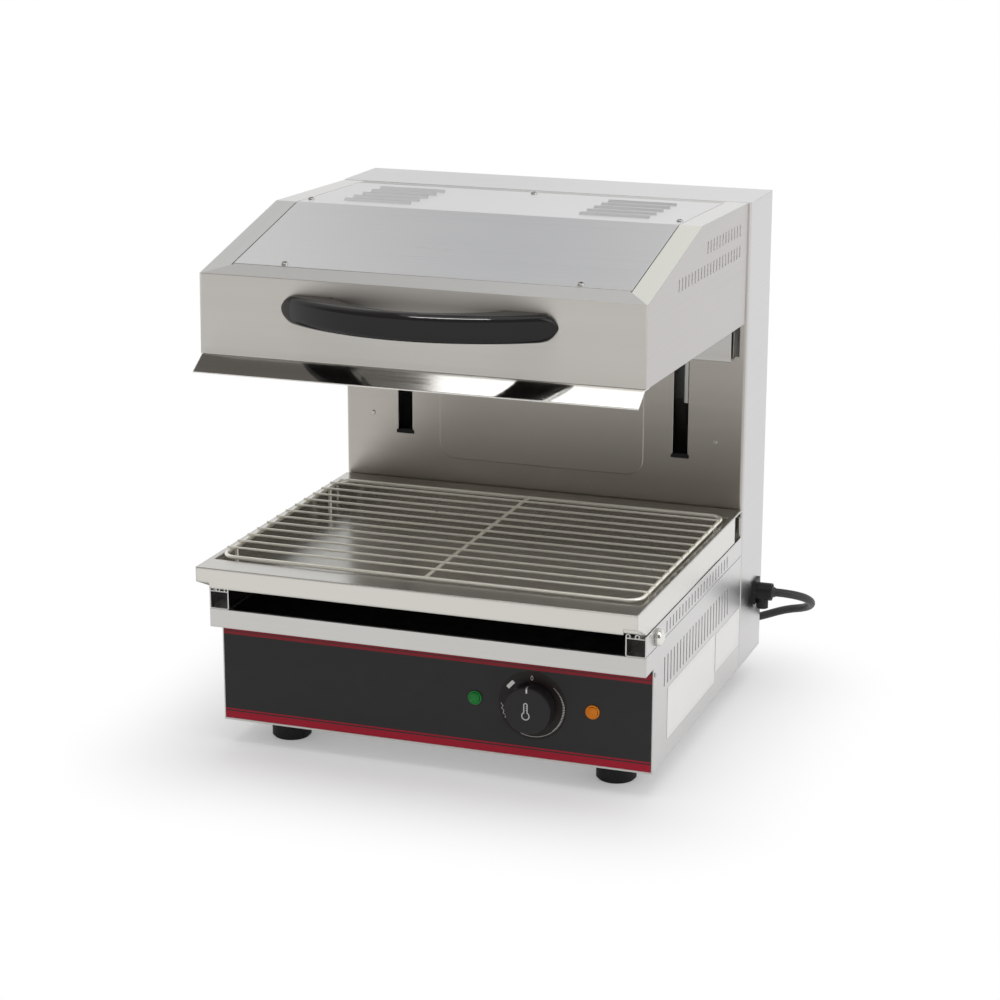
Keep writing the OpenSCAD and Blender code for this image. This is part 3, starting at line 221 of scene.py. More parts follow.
def pick(kind, test):
    """In edit mode, selects only the corners, edges or faces that pass a test."""
    bpy.ops.mesh.select_mode(type=kind)
    bpy.ops.mesh.select_all(action="DESELECT")
    mesh = bpy.context.edit_object.data
    shape = bmesh.from_edit_mesh(mesh)
    for item in {"VERT": shape.verts, "EDGE": shape.edges, "FACE": shape.faces}[kind]:
        if test(item):
            item.select_set(True)
    shape.select_flush_mode()
    bmesh.update_edit_mesh(mesh)


# %% [markdown]
# Round parts come off a lathe: a disc of many corners is extruded and scaled from ring to
# ring along the part's outline. It is the same few operators for the plug, the knob and the
# screws, so they are one helper, with the part's axis along Z until it is put in its place.

# %% The lathe


def arc(r, z, size, start, end, steps=5):
    """Outline points on a round corner, as (radius, height), from one angle to another."""
    angles = [math.radians(start + (end - start) * i / steps) for i in range(steps + 1)]
    return [(r + size * math.cos(a), z + size * math.sin(a)) for a in angles]


def turned(name, outline, sides=48):
    """A round body about Z. Its outline lists radius and height, in millimetres, from below."""
    unselect()
    radius, height = outline[0]
    bpy.ops.mesh.primitive_circle_add(vertices=sides, radius=radius * MM, fill_type="NGON",
                                      location=(0, 0, height * MM))
    body = bpy.context.object
    body.name = name
    bpy.ops.object.transform_apply(location=True)
    bpy.ops.object.mode_set(mode="EDIT")
    bpy.ops.mesh.select_all(action="SELECT")
    for (r0, z0), (r1, z1) in zip(outline, outline[1:]):
        up = {"value": (0, 0, (z1 - z0) * MM)}
        bpy.ops.mesh.extrude_region_move(TRANSFORM_OT_translate=up)
        bpy.ops.transform.resize(value=(r1 / r0, r1 / r0, 1), center_override=(0, 0, z1 * MM))
    bpy.ops.mesh.select_all(action="SELECT")
    bpy.ops.mesh.normals_make_consistent(inside=False)
    bpy.ops.object.mode_set(mode="OBJECT")
    return body


# %% [markdown]
# A finished piece keeps its place in its mesh, and its object stays at the origin. Every piece
# is handed over in the same way: smooth shading up to a sharp corner, the body that it moves
# with, the solids that it stands for, and its finish, which is put on at the end.

# %% Putting a piece in its place


def put(piece, place, turn=(0, 0, 0)):
    """Turns and moves a piece about the frame's origin, and keeps the result in its mesh."""
    unselect()
    piece.select_set(True)
    bpy.context.view_layer.objects.active = piece
    piece.rotation_euler = turn
    piece.location = place
    bpy.ops.object.transform_apply(location=True, rotation=True, scale=True)
    return piece


def keep(piece, body, finish, *nodes, slot=None, sharp=35):
    """A finished piece: smooth but for its corners, on its body, with its finish; its slot is not
    used.
    """
    unselect()
    piece.select_set(True)
    bpy.context.view_layer.objects.active = piece
    bpy.ops.object.shade_smooth_by_angle(angle=math.radians(sharp))
    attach(piece, body)
    if nodes:
        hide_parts(*nodes)
    made.append((piece, finish))
    return piece


def copied(piece, name):
    """A copy with its own mesh."""
    twin = bpy.data.objects.new(name, piece.data.copy())
    bpy.context.scene.collection.objects.link(twin)
    return twin


def apply_modifier(piece, kind, **settings):
    unselect()
    piece.select_set(True)
    bpy.context.view_layer.objects.active = piece
    modifier = piece.modifiers.new(kind.lower(), kind)
    for name, value in settings.items():
        setattr(modifier, name, value)
    bpy.ops.object.modifier_apply(modifier=modifier.name)


QUARTER = math.pi / 2
FACING_FRONT = (QUARTER, 0, 0)
FACING_REAR = (-QUARTER, 0, math.pi)
FACING_RIGHT = (QUARTER, 0, QUARTER)
FACING_LEFT = (QUARTER, 0, -QUARTER)

# %% [markdown]
# The plug is moulded in one with the lead: a neck, a waist to grip and a round face with two
# pins. Four thin rings round the neck let it bend. The pins are bright metal with round
# ends, so they are turned on their own.

# %% The mains plug
ribs = [(6.2 + 0.25 * i + out, 3 + 4 * i + up) for i in range(4)
        for out, up in [(0, 0), (0.9, 0.5), (0.9, 1.7), (0, 2.2)]]
plug_outline = [(5.4, 0)] + ribs
plug_outline += [(7.2, 18.5), (9.5, 19.5), (11.8, 21.5), (14.5, 26), (17.3, 30), (18.5, 32.5)]
plug_outline += [(18.5, 41)] + arc(17.5, 41, 1, 30, 90, 3) + [(15, 42)]
plug_body = turned("plug_body", plug_outline, 48)
bpy.ops.object.mode_set(mode="EDIT")
pick("FACE", lambda f: abs(f.normal.z) < 0.3 and f.calc_center_median().z > 32 * MM
     and abs(f.calc_center_median().x) > 16 * MM)
bpy.ops.mesh.inset(thickness=0.6 * MM, depth=-0.8 * MM)
PIN_R, PIN_END, PIN_APART = 2.4, 57.6, 19.0
pin_outline = [(PIN_R, 41), (PIN_R, PIN_END)] + arc(0.6, PIN_END, PIN_R - 0.6, 10, 80, 4)
plug_pins = turned("plug_pins", pin_outline, 24)
second_pin = copied(plug_pins, "pin")
put(plug_pins, (0, PIN_APART / 2 * MM, 0))
put(second_pin, (0, -PIN_APART / 2 * MM, 0))
unselect()
plug_pins.select_set(True)
second_pin.select_set(True)
bpy.context.view_layer.objects.active = plug_pins
bpy.ops.object.join()
for part in (plug_body, plug_pins):
    put(part, at(*PLUG_END), (0, -QUARTER, 0))
keep(plug_body, "base", "black_plastic", "plug")
keep(plug_pins, "base", "plated_brass", slot="black_plastic")
print("plug faces:", len(plug_body.data.polygons))

# %% [markdown]
# Where the lead leaves the gland, a rubber sleeve keeps it from being bent sharply. It is
# a tapered tube with rings that get thinner towards its end.

# %% The lead's sleeve
SLEEVE_START, GLAND_Y, GLAND_Z = 226.3, -25, 97
SLEEVE_LENGTH, SLEEVE_RINGS = 22.0, 4
sleeve_outline = [(7.6, 0), (7.6, 4)]
for i in range(SLEEVE_RINGS):
    r, z = 6.5 - 0.22 * i, 4.4 + 4 * i
    sleeve_outline += [(r, z), (r + 0.9, z + 0.5), (r + 0.9, z + 2.3), (r, z + 2.8)]
sleeve_outline += [(5.1, SLEEVE_LENGTH - 0.6), (4.7, SLEEVE_LENGTH)]
cord_sleeve = turned("lead_sleeve", sleeve_outline, 32)
put(cord_sleeve, at(SLEEVE_START, GLAND_Y, GLAND_Z), (0, QUARTER, 0))
keep(cord_sleeve, "base", "cable_sheath", "cord_sleeve")
print("sleeve, mm:", SLEEVE_LENGTH)

# %% [markdown]
# Inside the column a coiled lead carries the current to the moving head. Its coils close up as the
# head comes down; here the coil is drawn once, between fixed ends, and follows neither the base nor
# the head.

# %% The coiled lead in the column
LEAD_Y, LEAD_LOW, LEAD_HIGH = -30.0, 153.0, 310.0
LEAD_TURNS, LEAD_SIDES, LEAD_R, LEAD_WIRE = 15, 14, 5.8, 2.2
LEAD_END = 8.0  # the straight length at each end of the coils
steps = LEAD_TURNS * LEAD_SIDES
coil_line = [at(0, LEAD_Y, LEAD_LOW + 1), at(0, LEAD_Y, LEAD_LOW + 5)]
for i in range(steps + 1):
    angle = 2 * math.pi * i / LEAD_SIDES
    height = LEAD_LOW + LEAD_END + (LEAD_HIGH - LEAD_LOW - 2 * LEAD_END) * i / steps
    coil_line.append(at(LEAD_R * math.cos(angle), LEAD_Y + LEAD_R * math.sin(angle), height))
coil_line += [at(0, LEAD_Y, LEAD_HIGH - 5), at(0, LEAD_Y, LEAD_HIGH - 1)]
column_lead = curve_tube("column_lead", coil_line, LEAD_WIRE * MM, 2)
at(0, LEAD_Y, LEAD_LOW)
at(0, LEAD_Y, LEAD_HIGH)
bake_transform(column_lead)
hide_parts("head_lead")
made.append((column_lead, "cable_sheath"))
print("coiled lead faces:", len(column_lead.data.polygons))

# %% [markdown]
# The knob is moulded black plastic, 47 mm across, with a flat face and a small round at its
# edge. The spindle goes into a bore at its back, so the outline starts inside the bore and
# runs round the whole knob to the middle of its face.

# %% The knob
KNOB_X, CONTROL_Z, PANEL_Y = 104.0, 83.5, -415.4
KNOB_R, KNOB_LENGTH, KNOB_ROUND, KNOB_GAP = 23.5, 16.5, 1.6, 0.6
BORE_R, BORE_END = 3.05, KNOB_LENGTH - 5.2
knob_outline = [(BORE_R, BORE_END), (BORE_R, 0), (KNOB_R - 0.9, 0), (KNOB_R - 0.1, 0.8), (KNOB_R, 3)]
knob_outline += [(KNOB_R, KNOB_LENGTH - KNOB_ROUND)]
knob_outline += arc(KNOB_R - KNOB_ROUND, KNOB_LENGTH - KNOB_ROUND, KNOB_ROUND, 12, 90, 6)
knob_outline += [(18.0, KNOB_LENGTH)]
knob_body = turned("knob_body", knob_outline, 96)
put(knob_body, at(KNOB_X, PANEL_Y - KNOB_GAP, CONTROL_Z), FACING_FRONT)
keep(knob_body, "control_knob", "knob_plastic", "knob", slot="black_plastic")
print("knob, mm:", 2 * KNOB_R, "by", KNOB_LENGTH)

# %% [markdown]
# A lamp is a coloured plastic body with a lens. The lens is pressed with rows of tiny
# pyramids, which spread the light: a grid whose faces are poked, domed by moving its middle
# with the falloff of a sphere, and cut round. A narrow ring holds its edge.

# %% The two lamps
LENS_R, LENS_RISE, LENS_CELLS, LAMP_UP = 5.9, 2.2, 12, 1
lamp_outline = [(5.8, -22), (5.8, -0.6), (5.8, 0), (6.8, 0), (7.0, 0.2), (7.0, 1.3)]
lamp_outline += arc(6.4, 1.3, 0.6, 20, 90, 3) + [(5.9, 1.8), (5.6, 1.5), (5.5, 0.9)]


def ribbed_lens():
    unselect()
    bpy.ops.mesh.primitive_grid_add(x_subdivisions=LENS_CELLS, y_subdivisions=LENS_CELLS,
                                    size=2 * LENS_R * MM, location=(0, 0, 0))
    lens = bpy.context.object
    bpy.ops.object.mode_set(mode="EDIT")
    bpy.ops.mesh.select_all(action="SELECT")
    bpy.ops.mesh.poke(offset=0.4 * MM)
    pick("VERT", lambda v: v.co.to_2d().length > (LENS_R - 0.1) * MM)
    bpy.ops.mesh.delete(type="VERT")
    pick("VERT", lambda v: v.co.length < 0.45 * MM)
    bpy.ops.transform.translate(value=(0, 0, LENS_RISE * MM), use_proportional_edit=True,
                                proportional_edit_falloff="SPHERE",
                                proportional_size=LENS_R * 1.02 * MM)
    bpy.ops.mesh.select_all(action="SELECT")
    bpy.ops.transform.translate(value=(0, 0, 1.3 * MM))
    bpy.ops.object.mode_set(mode="OBJECT")
    apply_modifier(lens, "SOLIDIFY", thickness=0.6 * MM, offset=-1.0)
    return lens


for colour, lamp_x in [("green", 45), ("orange", 165)]:
    lens = ribbed_lens()
    lamp = turned("lamp_" + colour + "_lens", lamp_outline, 48)
    lens.select_set(True)
    bpy.ops.object.join()
    put(lamp, at(lamp_x, PANEL_Y, CONTROL_Z + LAMP_UP), FACING_FRONT)
    keep(lamp, "base", colour + "_lens", "lamp_" + colour, sharp=20)
    print(lamp.name, "faces:", len(lamp.data.polygons))

# %% [markdown]
# Sheets are held by pan-head screws with a cross recess. One screw is turned, and its recess is
# cut by a plus-shaped block, which is a small cube with its four sides extruded. Later it is
# copied to all its places on the head's cover, and a larger one to those on the column's back.

# %% One pan-head screw
SCREW_HIGH = 2.0


def pan_screw(name, head_r, shank_r, shank_length):
    outline = [(shank_r - 0.5, -shank_length), (shank_r, -shank_length + 0.6), (shank_r, 0)]
    outline += [(head_r, 0), (head_r, 0.5), (head_r * 0.94, 1.1), (head_r * 0.8, 1.6),
                (head_r * 0.55, 1.9), (head_r * 0.2, SCREW_HIGH)]
    screw = turned(name, outline, 32)
    unselect()
    arm = head_r * 0.17
    bpy.ops.mesh.primitive_cube_add(size=2 * arm * MM, location=(0, 0, SCREW_HIGH * MM))
    cutter = bpy.context.object
    bpy.ops.object.transform_apply(location=True)
    bpy.ops.object.mode_set(mode="EDIT")
    for along in (Vector((1, 0, 0)), Vector((-1, 0, 0)), Vector((0, 1, 0)), Vector((0, -1, 0))):
        pick("FACE", lambda f, along=along: f.normal.dot(along) > 0.9)
        outwards = {"value": along * head_r * 0.42 * MM}
        bpy.ops.mesh.extrude_region_move(TRANSFORM_OT_translate=outwards)
    bpy.ops.mesh.select_all(action="SELECT")
    bpy.ops.transform.translate(value=(0, 0, -0.2 * MM))
    bpy.ops.object.mode_set(mode="OBJECT")
    apply_modifier(screw, "BOOLEAN", operation="DIFFERENCE", object=cutter, solver="EXACT")
    bpy.data.objects.remove(cutter)
    return screw


# %% [markdown]
# The head leans back by 1.4 degrees, and its screws lean with it. A place on the head is
# therefore worked out upright and then turned about the column's front, at the head's
# underside. Two screws stand on the slope, two behind its upper edge and one at the rear.

# %% The cover's screws
HEAD_Z, HEAD_FRONT_Y, HEAD_TOP = 405.0, -450.0, 530.0
FRONT_TOP, SLOPE_RISE, SLOPE_RUN = 483.0, 47, 178  # where the slope begins, and how it climbs
COLUMN_FRONT, LEAN = -90.0, math.radians(1.4)
SLOPE = math.atan2(SLOPE_RISE, SLOPE_RUN)
SHANK_LENGTH = 3.6


def on_head(x, y, z):
    """A point of the upright head, in millimetres, where it stands on the leaning head."""
    y, z = y - COLUMN_FRONT, z - HEAD_Z
    return at(x, COLUMN_FRONT + y * math.cos(LEAN) + z * math.sin(LEAN),
              HEAD_Z - y * math.sin(LEAN) + z * math.cos(LEAN))


UP_SLOPE = 33.0  # from the head's front edge to its two slope screws
slope_y = HEAD_FRONT_Y + UP_SLOPE * math.cos(SLOPE)
slope_z = FRONT_TOP + UP_SLOPE * math.sin(SLOPE)
screw_places = [(on_head(x, slope_y, slope_z), (SLOPE - LEAN, 0, 0)) for x in (-148.5, 148.5)]
screw_places += [(on_head(x, -250, HEAD_TOP), (-LEAN, 0, 0)) for x in (-194, 194)]
screw_places += [(on_head(0, -119, HEAD_TOP), (-LEAN, 0, 0))]
cover_screw = pan_screw("cover_screw", 3.5, 1.75, SHANK_LENGTH)
for number, (place, turn) in enumerate(screw_places, 1):
    screw = put(copied(cover_screw, "cover_screw_" + str(number)), place, turn)
    keep(screw, "head", "plated_screw", "cover_screws", slot="zinc_steel", sharp=28)
bpy.data.objects.remove(cover_screw)
print("cover screws:", len(screw_places))

# %% [markdown]
# The column's back plate is held by four larger screws down each side. They stand upright, so
# their heights are shares of the body's own height, and all of them face the rear.

# %% The back plate's screws
BODY_HIGH, BACK_SCREW_X, BACK_SCREW_SHARES = 530.0, 218.3, (0.11, 0.36, 0.62, 0.9)
back_screw = pan_screw("back_screw", 4.0, 2.0, SHANK_LENGTH)
number = 0
for x in (-BACK_SCREW_X, BACK_SCREW_X):
    for share in BACK_SCREW_SHARES:
        number += 1
        screw = put(copied(back_screw, "back_screw_" + str(number)), at(x, 0, share * BODY_HIGH),
                    FACING_REAR)
        keep(screw, "base", "plated_screw", "back_screws", slot="zinc_steel", sharp=28)
bpy.data.objects.remove(back_screw)
print("back screws:", number)

# %% [markdown]
# Near the front of each rail stands a domed screw with a ribbed rim, turned by hand. The
# ribs are made from every second face of the rim, each inset and pushed out on its own.

# %% The domed rail screws
RAIL_OUT, RAIL_SCREW_Y, RAIL_SCREW_Z, RIM_FACES = 225, -407, 164.5, 64
dome_outline = [(4, -5.2), (4, -1.2), (2, -1.2), (2, 0), (7.9, 0), (8.1, 0.3), (8.1, 2.9), (7.9, 3.2)]
dome_outline += [(8.0 * math.cos(a), 3.4 + 4.1 * math.sin(a))
                 for a in (math.radians(d) for d in (12, 24, 36, 48, 60, 72, 82))]


def every_second_rim_face(face):
    middle = face.calc_center_median()
    step = math.atan2(middle.y, middle.x) * RIM_FACES / 2 / math.pi - 0.5
    return abs(face.normal.z) < 0.3 and 0.5 * MM < middle.z < 2.8 * MM and round(step) % 2


for side, turn in [(-1, FACING_LEFT), (1, FACING_RIGHT)]:
    dome = turned("rail_screw_" + ("left" if side < 0 else "right"), dome_outline, RIM_FACES)
    bpy.ops.object.mode_set(mode="EDIT")
    pick("FACE", every_second_rim_face)
    bpy.ops.mesh.inset(use_individual=True, thickness=0.1 * MM, depth=0.4 * MM)
    put(dome, at(side * RAIL_OUT, RAIL_SCREW_Y, RAIL_SCREW_Z), turn)
    keep(dome, "base", "polished_sheet", "rail_screws")
    print(dome.name, "faces:", len(dome.data.polygons))

# %% [markdown]
# The handle is one moulded bow of glossy black plastic, and all its edges are soft. A copy
# of its solid is welded, given an even net of small faces and smoothed. The corners on its
# back stay put, because they lie flat against the head.

# %% The handle
handle_bow = copied(frame["nodes"]["handle"], "handle_bow")
unselect()
handle_bow.select_set(True)
bpy.context.view_layer.objects.active = handle_bow
bpy.ops.object.mode_set(mode="EDIT")
bpy.ops.mesh.select_all(action="SELECT")
bpy.ops.mesh.remove_doubles(threshold=0.00001)
bpy.ops.object.mode_set(mode="OBJECT")
apply_modifier(handle_bow, "REMESH", mode="VOXEL", voxel_size=1.3 * MM)
face_point = on_head(0, HEAD_FRONT_Y, HEAD_Z)
face_normal = Vector((0, -math.cos(LEAN), -math.sin(LEAN)))
loose = handle_bow.vertex_groups.new(name="loose")
loose.add([v.index for v in handle_bow.data.vertices
           if (v.co - face_point).dot(face_normal) > 1.2 * MM], 1.0, "REPLACE")
apply_modifier(handle_bow, "SMOOTH", factor=0.5, iterations=9, vertex_group="loose")
handle_bow.vertex_groups.clear()

# %% [markdown]
# The last stretch at each end gets lower and lower towards its tip, so that the ends are
# round. A formula moves each point up or down, as a soft pull on the mesh would.

# %% The handle's ends
END_LENGTH, END_ROUND = 17 * MM, 0.9
tip = max(v.co.x for v in handle_bow.data.vertices)
end_heights = [v.co.z for v in handle_bow.data.vertices if abs(v.co.x) > tip - END_LENGTH]
middle = (max(end_heights) + min(end_heights)) / 2
for v in handle_bow.data.vertices:
    t = max(0.0, (abs(v.co.x) - tip + END_LENGTH) / END_LENGTH)
    v.co.z = middle + (v.co.z - middle) * math.sqrt(1 - END_ROUND * t * t)
keep(handle_bow, "head", "handle_black", "handle", sharp=60)
print("handle faces:", len(handle_bow.data.polygons))

# %% [markdown]
# A material is a small network of nodes. Building it by hand takes a few lines for each node,
# so one helper adds a node and fills its sockets: a link where the value is another node's
# output, and a plain number or colour where it isn't.

# %% Adding a shader node
WHITE = (1, 1, 1, 1)
scene = bpy.context.scene
scene.view_settings.view_transform = "Standard"
SETTINGS = {"operation", "data_type", "interpolation_type", "samples"}


def add_node(tree, kind, **sockets):
    """A new shader node. Its sockets are set by name; a socket is linked, a value is typed in."""
    new = tree.nodes.new("ShaderNode" + kind)
    for name, value in sockets.items():
        if name in SETTINGS:
            setattr(new, name, value)
            continue
        socket = new.inputs[int(name[1:]) if name[1:].isdigit() else name.replace("_", " ")]
        if isinstance(value, bpy.types.NodeSocket):
            tree.links.new(value, socket)
        else:
            socket.default_value = value
    return new


# %% [markdown]
# Prints, grain and edges are sums and comparisons of places on the surface. Written as Math
# nodes they are hard to read. A Field wraps a node's output, so that a + b or a > b in the
# script adds the node that works it out, and a print can be written as its formula.

# %% Numbers that vary over a surface


class Field:
    """A number that varies over a surface. Sums and comparisons of fields become nodes."""

    def __init__(self, tree, value):
        self.tree, self.value = tree, value

    def by(self, operation, other=0.0):
        other = other.value if isinstance(other, Field) else other
        node = add_node(self.tree, "Math", operation=operation, i0=self.value, i1=other)
        return Field(self.tree, node.outputs[0])

    def __add__(self, other):
        return self.by("ADD", other)

    def __sub__(self, other):
        return self.by("SUBTRACT", other)

    def __mul__(self, other):
        return self.by("MULTIPLY", other)

    def __truediv__(self, other):
        return self.by("DIVIDE", other)

    def __gt__(self, other):
        return self.by("GREATER_THAN", other)

    def __lt__(self, other):
        return self.by("LESS_THAN", other)

    def __abs__(self):
        return self.by("ABSOLUTE")

    def least(self, other):
        return self.by("MINIMUM", other)

    def most(self, other):
        return self.by("MAXIMUM", other)

    def within(self, low, high):
        return (self > low) * (self < high)

    def ranged(self, low, high, new_low=0.0, new_high=1.0, soft=False):
        kind = "SMOOTHSTEP" if soft else "LINEAR"
        node = add_node(self.tree, "MapRange", interpolation_type=kind, i0=self.value,
                        i1=low, i2=high, i3=new_low, i4=new_high)
        return Field(self.tree, node.outputs[0])


def distance(a, b):
    return (a * a + b * b).by("SQRT")


def parts_of(tree, vector):
    return [Field(tree, out) for out in add_node(tree, "SeparateXYZ", Vector=vector).outputs]


def seen_directly(tree, *rays):
    """1 for the named kinds of ray, else 0."""
    path = tree.nodes.new("ShaderNodeLightPath").outputs
    seen = Field(tree, path[rays[0]])
    for ray in rays[1:]:
        seen = seen.most(Field(tree, path[ray]))
    return seen


def mixed_color(tree, share, first, second):
    """A colour between two. Each is a socket or three numbers."""
    first, second = ((*c, 1) if isinstance(c, tuple) else c for c in (first, second))
    return add_node(tree, "Mix", data_type="RGBA", i0=share.value, i6=first, i7=second).outputs[2]


# %% [markdown]
# Steel shows its surroundings, so they matter as much as its own colour. Near the counter the
# room behind the grill is white. Higher up its walls are pale, with a grey screen in the middle
# that the head's slope mirrors. The room in front of the grill is dark above the counter, and
# so is the ceiling. Only reflections see this room: the camera sees plain white, and matt
# surfaces get an even light.

# %% The world around it
PALE_WALL, GREY_SCREEN, WHITE_WALL = (0.80, 0.80, 0.79), (0.42, 0.43, 0.45), (1.0, 1.0, 1.0)
DARK_ROOM, DARK_CEILING = (0.13, 0.115, 0.10), (0.12, 0.11, 0.10)
SCREEN_ASIDE = -0.45  # the screen's middle: steps to the right for each step to the back
world = bpy.data.worlds.new("studio")
scene.world = world
world.use_nodes = True
tree = world.node_tree
tree.nodes.clear()
direction = tree.nodes.new("ShaderNodeTexCoord").outputs["Generated"]
to_right, to_back, to_top = parts_of(tree, direction)
aside = abs(to_right / to_back.most(0.01) - SCREEN_ASIDE)
wall_color = mixed_color(tree, aside.ranged(0.06, 0.12, soft=True), GREY_SCREEN, PALE_WALL)
wall_color = mixed_color(tree, to_top.ranged(0.25, 0.5, soft=True), WHITE_WALL, wall_color)
in_front = to_back.ranged(0.05, -0.5, soft=True)
above = to_top.ranged(-0.02, 0.16, soft=True)
room_color = mixed_color(tree, in_front * above, wall_color, DARK_ROOM)
overhead = to_top.ranged(0.84, 0.90, soft=True)
room_color = mixed_color(tree, overhead, room_color, DARK_CEILING)
ambient = add_node(tree, "Background", Color=(1, 0.995, 0.985, 1), Strength=0.62)
room = add_node(tree, "Background", Color=room_color, Strength=1.0)
paper = add_node(tree, "Background", Color=WHITE, Strength=1.0)
glossy = seen_directly(tree, "Is Glossy Ray")
plain = seen_directly(tree, "Is Camera Ray", "Is Transmission Ray")
first = add_node(tree, "MixShader", i0=glossy.value, i1=ambient.outputs[0], i2=room.outputs[0])
second = add_node(tree, "MixShader", i0=plain.value, i1=first.outputs[0], i2=paper.outputs[0])
tree.links.new(second.outputs[0], tree.nodes.new("ShaderNodeOutputWorld").inputs[0])
print("world nodes:", len(tree.nodes))

# %% [markdown]
# The grill stands on a pale counter without an edge. Close to the grill the floor shows its
# true shading, so its soft shadow is kept. Further out it turns to plain white for the camera
# and for what the steel reflects. The distance is counted from the base's own rectangle.

# %% The counter
BASE_HALF_X, BASE_HALF_Y, SHADOW_REACH, GLOW_NEAR = 0.20, 0.19, 0.20, 0.22
bpy.ops.mesh.primitive_plane_add(size=40, location=(0, 8, 0))
floor = bpy.context.object
floor.name = "counter"
counter = bpy.data.materials.new("pale_counter")
counter.use_nodes = True
tree = counter.node_tree
tree.nodes.clear()
x, y, _ = parts_of(tree, tree.nodes.new("ShaderNodeNewGeometry").outputs["Position"])
away = distance((abs(x) - BASE_HALF_X).most(0.0), (abs(y) - BASE_HALF_Y).most(0.0))
direct = seen_directly(tree, "Is Camera Ray", "Is Glossy Ray", "Is Transmission Ray")
share = away.ranged(0.0, SHADOW_REACH, GLOW_NEAR, 1.0, soft=True) * direct
paint = add_node(tree, "BsdfDiffuse", Color=(0.93, 0.93, 0.93, 1))
glow = add_node(tree, "Emission", Color=WHITE, Strength=1.0)
mixed = add_node(tree, "MixShader", i0=share.value, i1=paint.outputs[0], i2=glow.outputs[0])
tree.links.new(mixed.outputs[0], tree.nodes.new("ShaderNodeOutputMaterial").inputs[0])
floor.data.materials.append(counter)
print("counter, m:", tuple(round(side, 1) for side in floor.dimensions))

# %% [markdown]
# Two large soft boxes light the grill: one overhead and in front, one on its right. Their
# brightness stays near that of white paper, because the steel mirrors them. Glossy black
# plastic shows nothing but such mirrored lamps, so the handle gets a narrow box of its own,
# and light linking keeps that one off the steel.

# %% The studio's lamps


def soft_lamp(name, place, aim, size, watts):
    """A rectangular area lamp that looks from place to aim."""
    data = bpy.data.lights.new(name, "AREA")
    data.shape = "RECTANGLE"
    data.size, data.size_y = size
    data.energy = watts
    lamp = bpy.data.objects.new(name, data)
    scene.collection.objects.link(lamp)
    lamp.location = place
    lamp.rotation_euler = (Vector(aim) - Vector(place)).to_track_quat("-Z", "Y").to_euler()
    return lamp


soft_lamp("top_box", (0.435, -0.775, 2.4), (0.435, -0.775, 0), (2.33, 1.95), 21)
strip = soft_lamp("strip_box", (0.1, -1.3, 2.0), (0, -0.22, 0.45), (1.2, 0.32), 50)
strip.light_linking.receiver_collection = bpy.data.collections.new("glossy_black")
strip.light_linking.receiver_collection.objects.link(handle_bow)
soft_lamp("side_box", (2.4, -0.6, 1.5), (0, 0, 0.3), (1.2, 1.6), 12)
unselect()

# %% [markdown]
# Most of the grill is stainless sheet, brushed along its length. Brushing leaves scratches
# far finer than a millimetre, so they are a noise pattern pulled out along the grain, which
# moves the colour, the roughness and a very shallow bump. Scratches also smear reflections
# across the grain, and that is what anisotropy does when it is told the grain's direction.

# %% Places and patterns on a surface
BUMP_DEPTH = 0.2 * MM


def finish_material(name, **sockets):
    """A material with one Principled shader, whose plain values are set on its own sockets."""
    material = bpy.data.materials.new(name)
    material.use_nodes = True
    tree = material.node_tree
    shader = tree.nodes["Principled BSDF"]
    for socket, value in sockets.items():
        shader.inputs[socket.replace("_", " ")].default_value = value
    return material, tree, shader


def place_mm(tree):
    """The surface's own place, in the source's millimetres, as three fields."""
    x, y, z = parts_of(tree, tree.nodes.new("ShaderNodeTexCoord").outputs["Object"])
    return x * 1000.0, y * 1000.0 - MID_Y, z * 1000.0


def facing(tree):
    return parts_of(tree, tree.nodes.new("ShaderNodeTexCoord").outputs["Normal"])


def noise(tree, vector, scale, detail=2.0, roughness=0.5):
    return Field(tree, add_node(tree, "TexNoise", Vector=vector, Scale=scale, Detail=detail,
                                Roughness=roughness).outputs[0])


def rounded_edges(tree, shader, radius, height, strength):
    """Softens the shading at edges, as a bent or rolled edge does, under a shallow bump."""
    rounded = add_node(tree, "Bevel", samples=4, Radius=radius).outputs[0]
    bumped = add_node(tree, "Bump", Height=height.value, Strength=strength, Distance=BUMP_DEPTH,
                      Normal=rounded)
    tree.links.new(bumped.outputs[0], shader.inputs["Normal"])


def overprint_or_paint_light(tree, shader, mask, color):
    """Paints a colour over a finish wherever the mask is 1: real print, and also painted light and
    shade.
    """
    under = shader.inputs["Base Color"].links[0].from_socket
    tree.links.new(mixed_color(tree, mask, under, color), shader.inputs["Base Color"])


# %% [markdown]
# The head's side strips are folded over from the side walls. They meet the front sheet in a
# mitre, a slanting seam at each front corner, and behind that seam the grain turns by a right
# angle. So brushed steel has to know which way its grain runs at each place.

# %% Brushed steel
FOLD, STRIP = 199.3, 23.5  # where the head's folded side strips begin, and their width
MITRE_DEEP = 25.6          # how far the mitre reaches behind the head's front
SQUARE_ON = 0.7            # a face looks to a side when this much of its normal does
GRAIN, ALONG = 420.0, 1.2  # how fast the scratches change across the grain, and along it


def mitre(y):
    """How far past the fold the side strip starts at a depth y. Behind the mitre it is 0."""
    return (y - HEAD_FRONT_Y).ranged(0.0, MITRE_DEEP, STRIP, 0.0)


def side_grain(tree, mitred=False):
    """1 where the grain runs front to back: on side walls, and on the head's folded strips."""
    grain = abs(facing(tree)[0]) > SQUARE_ON
    if mitred:
        x, y, _ = place_mm(tree)
        grain = grain.most((abs(x) - FOLD) > mitre(y))
    return grain


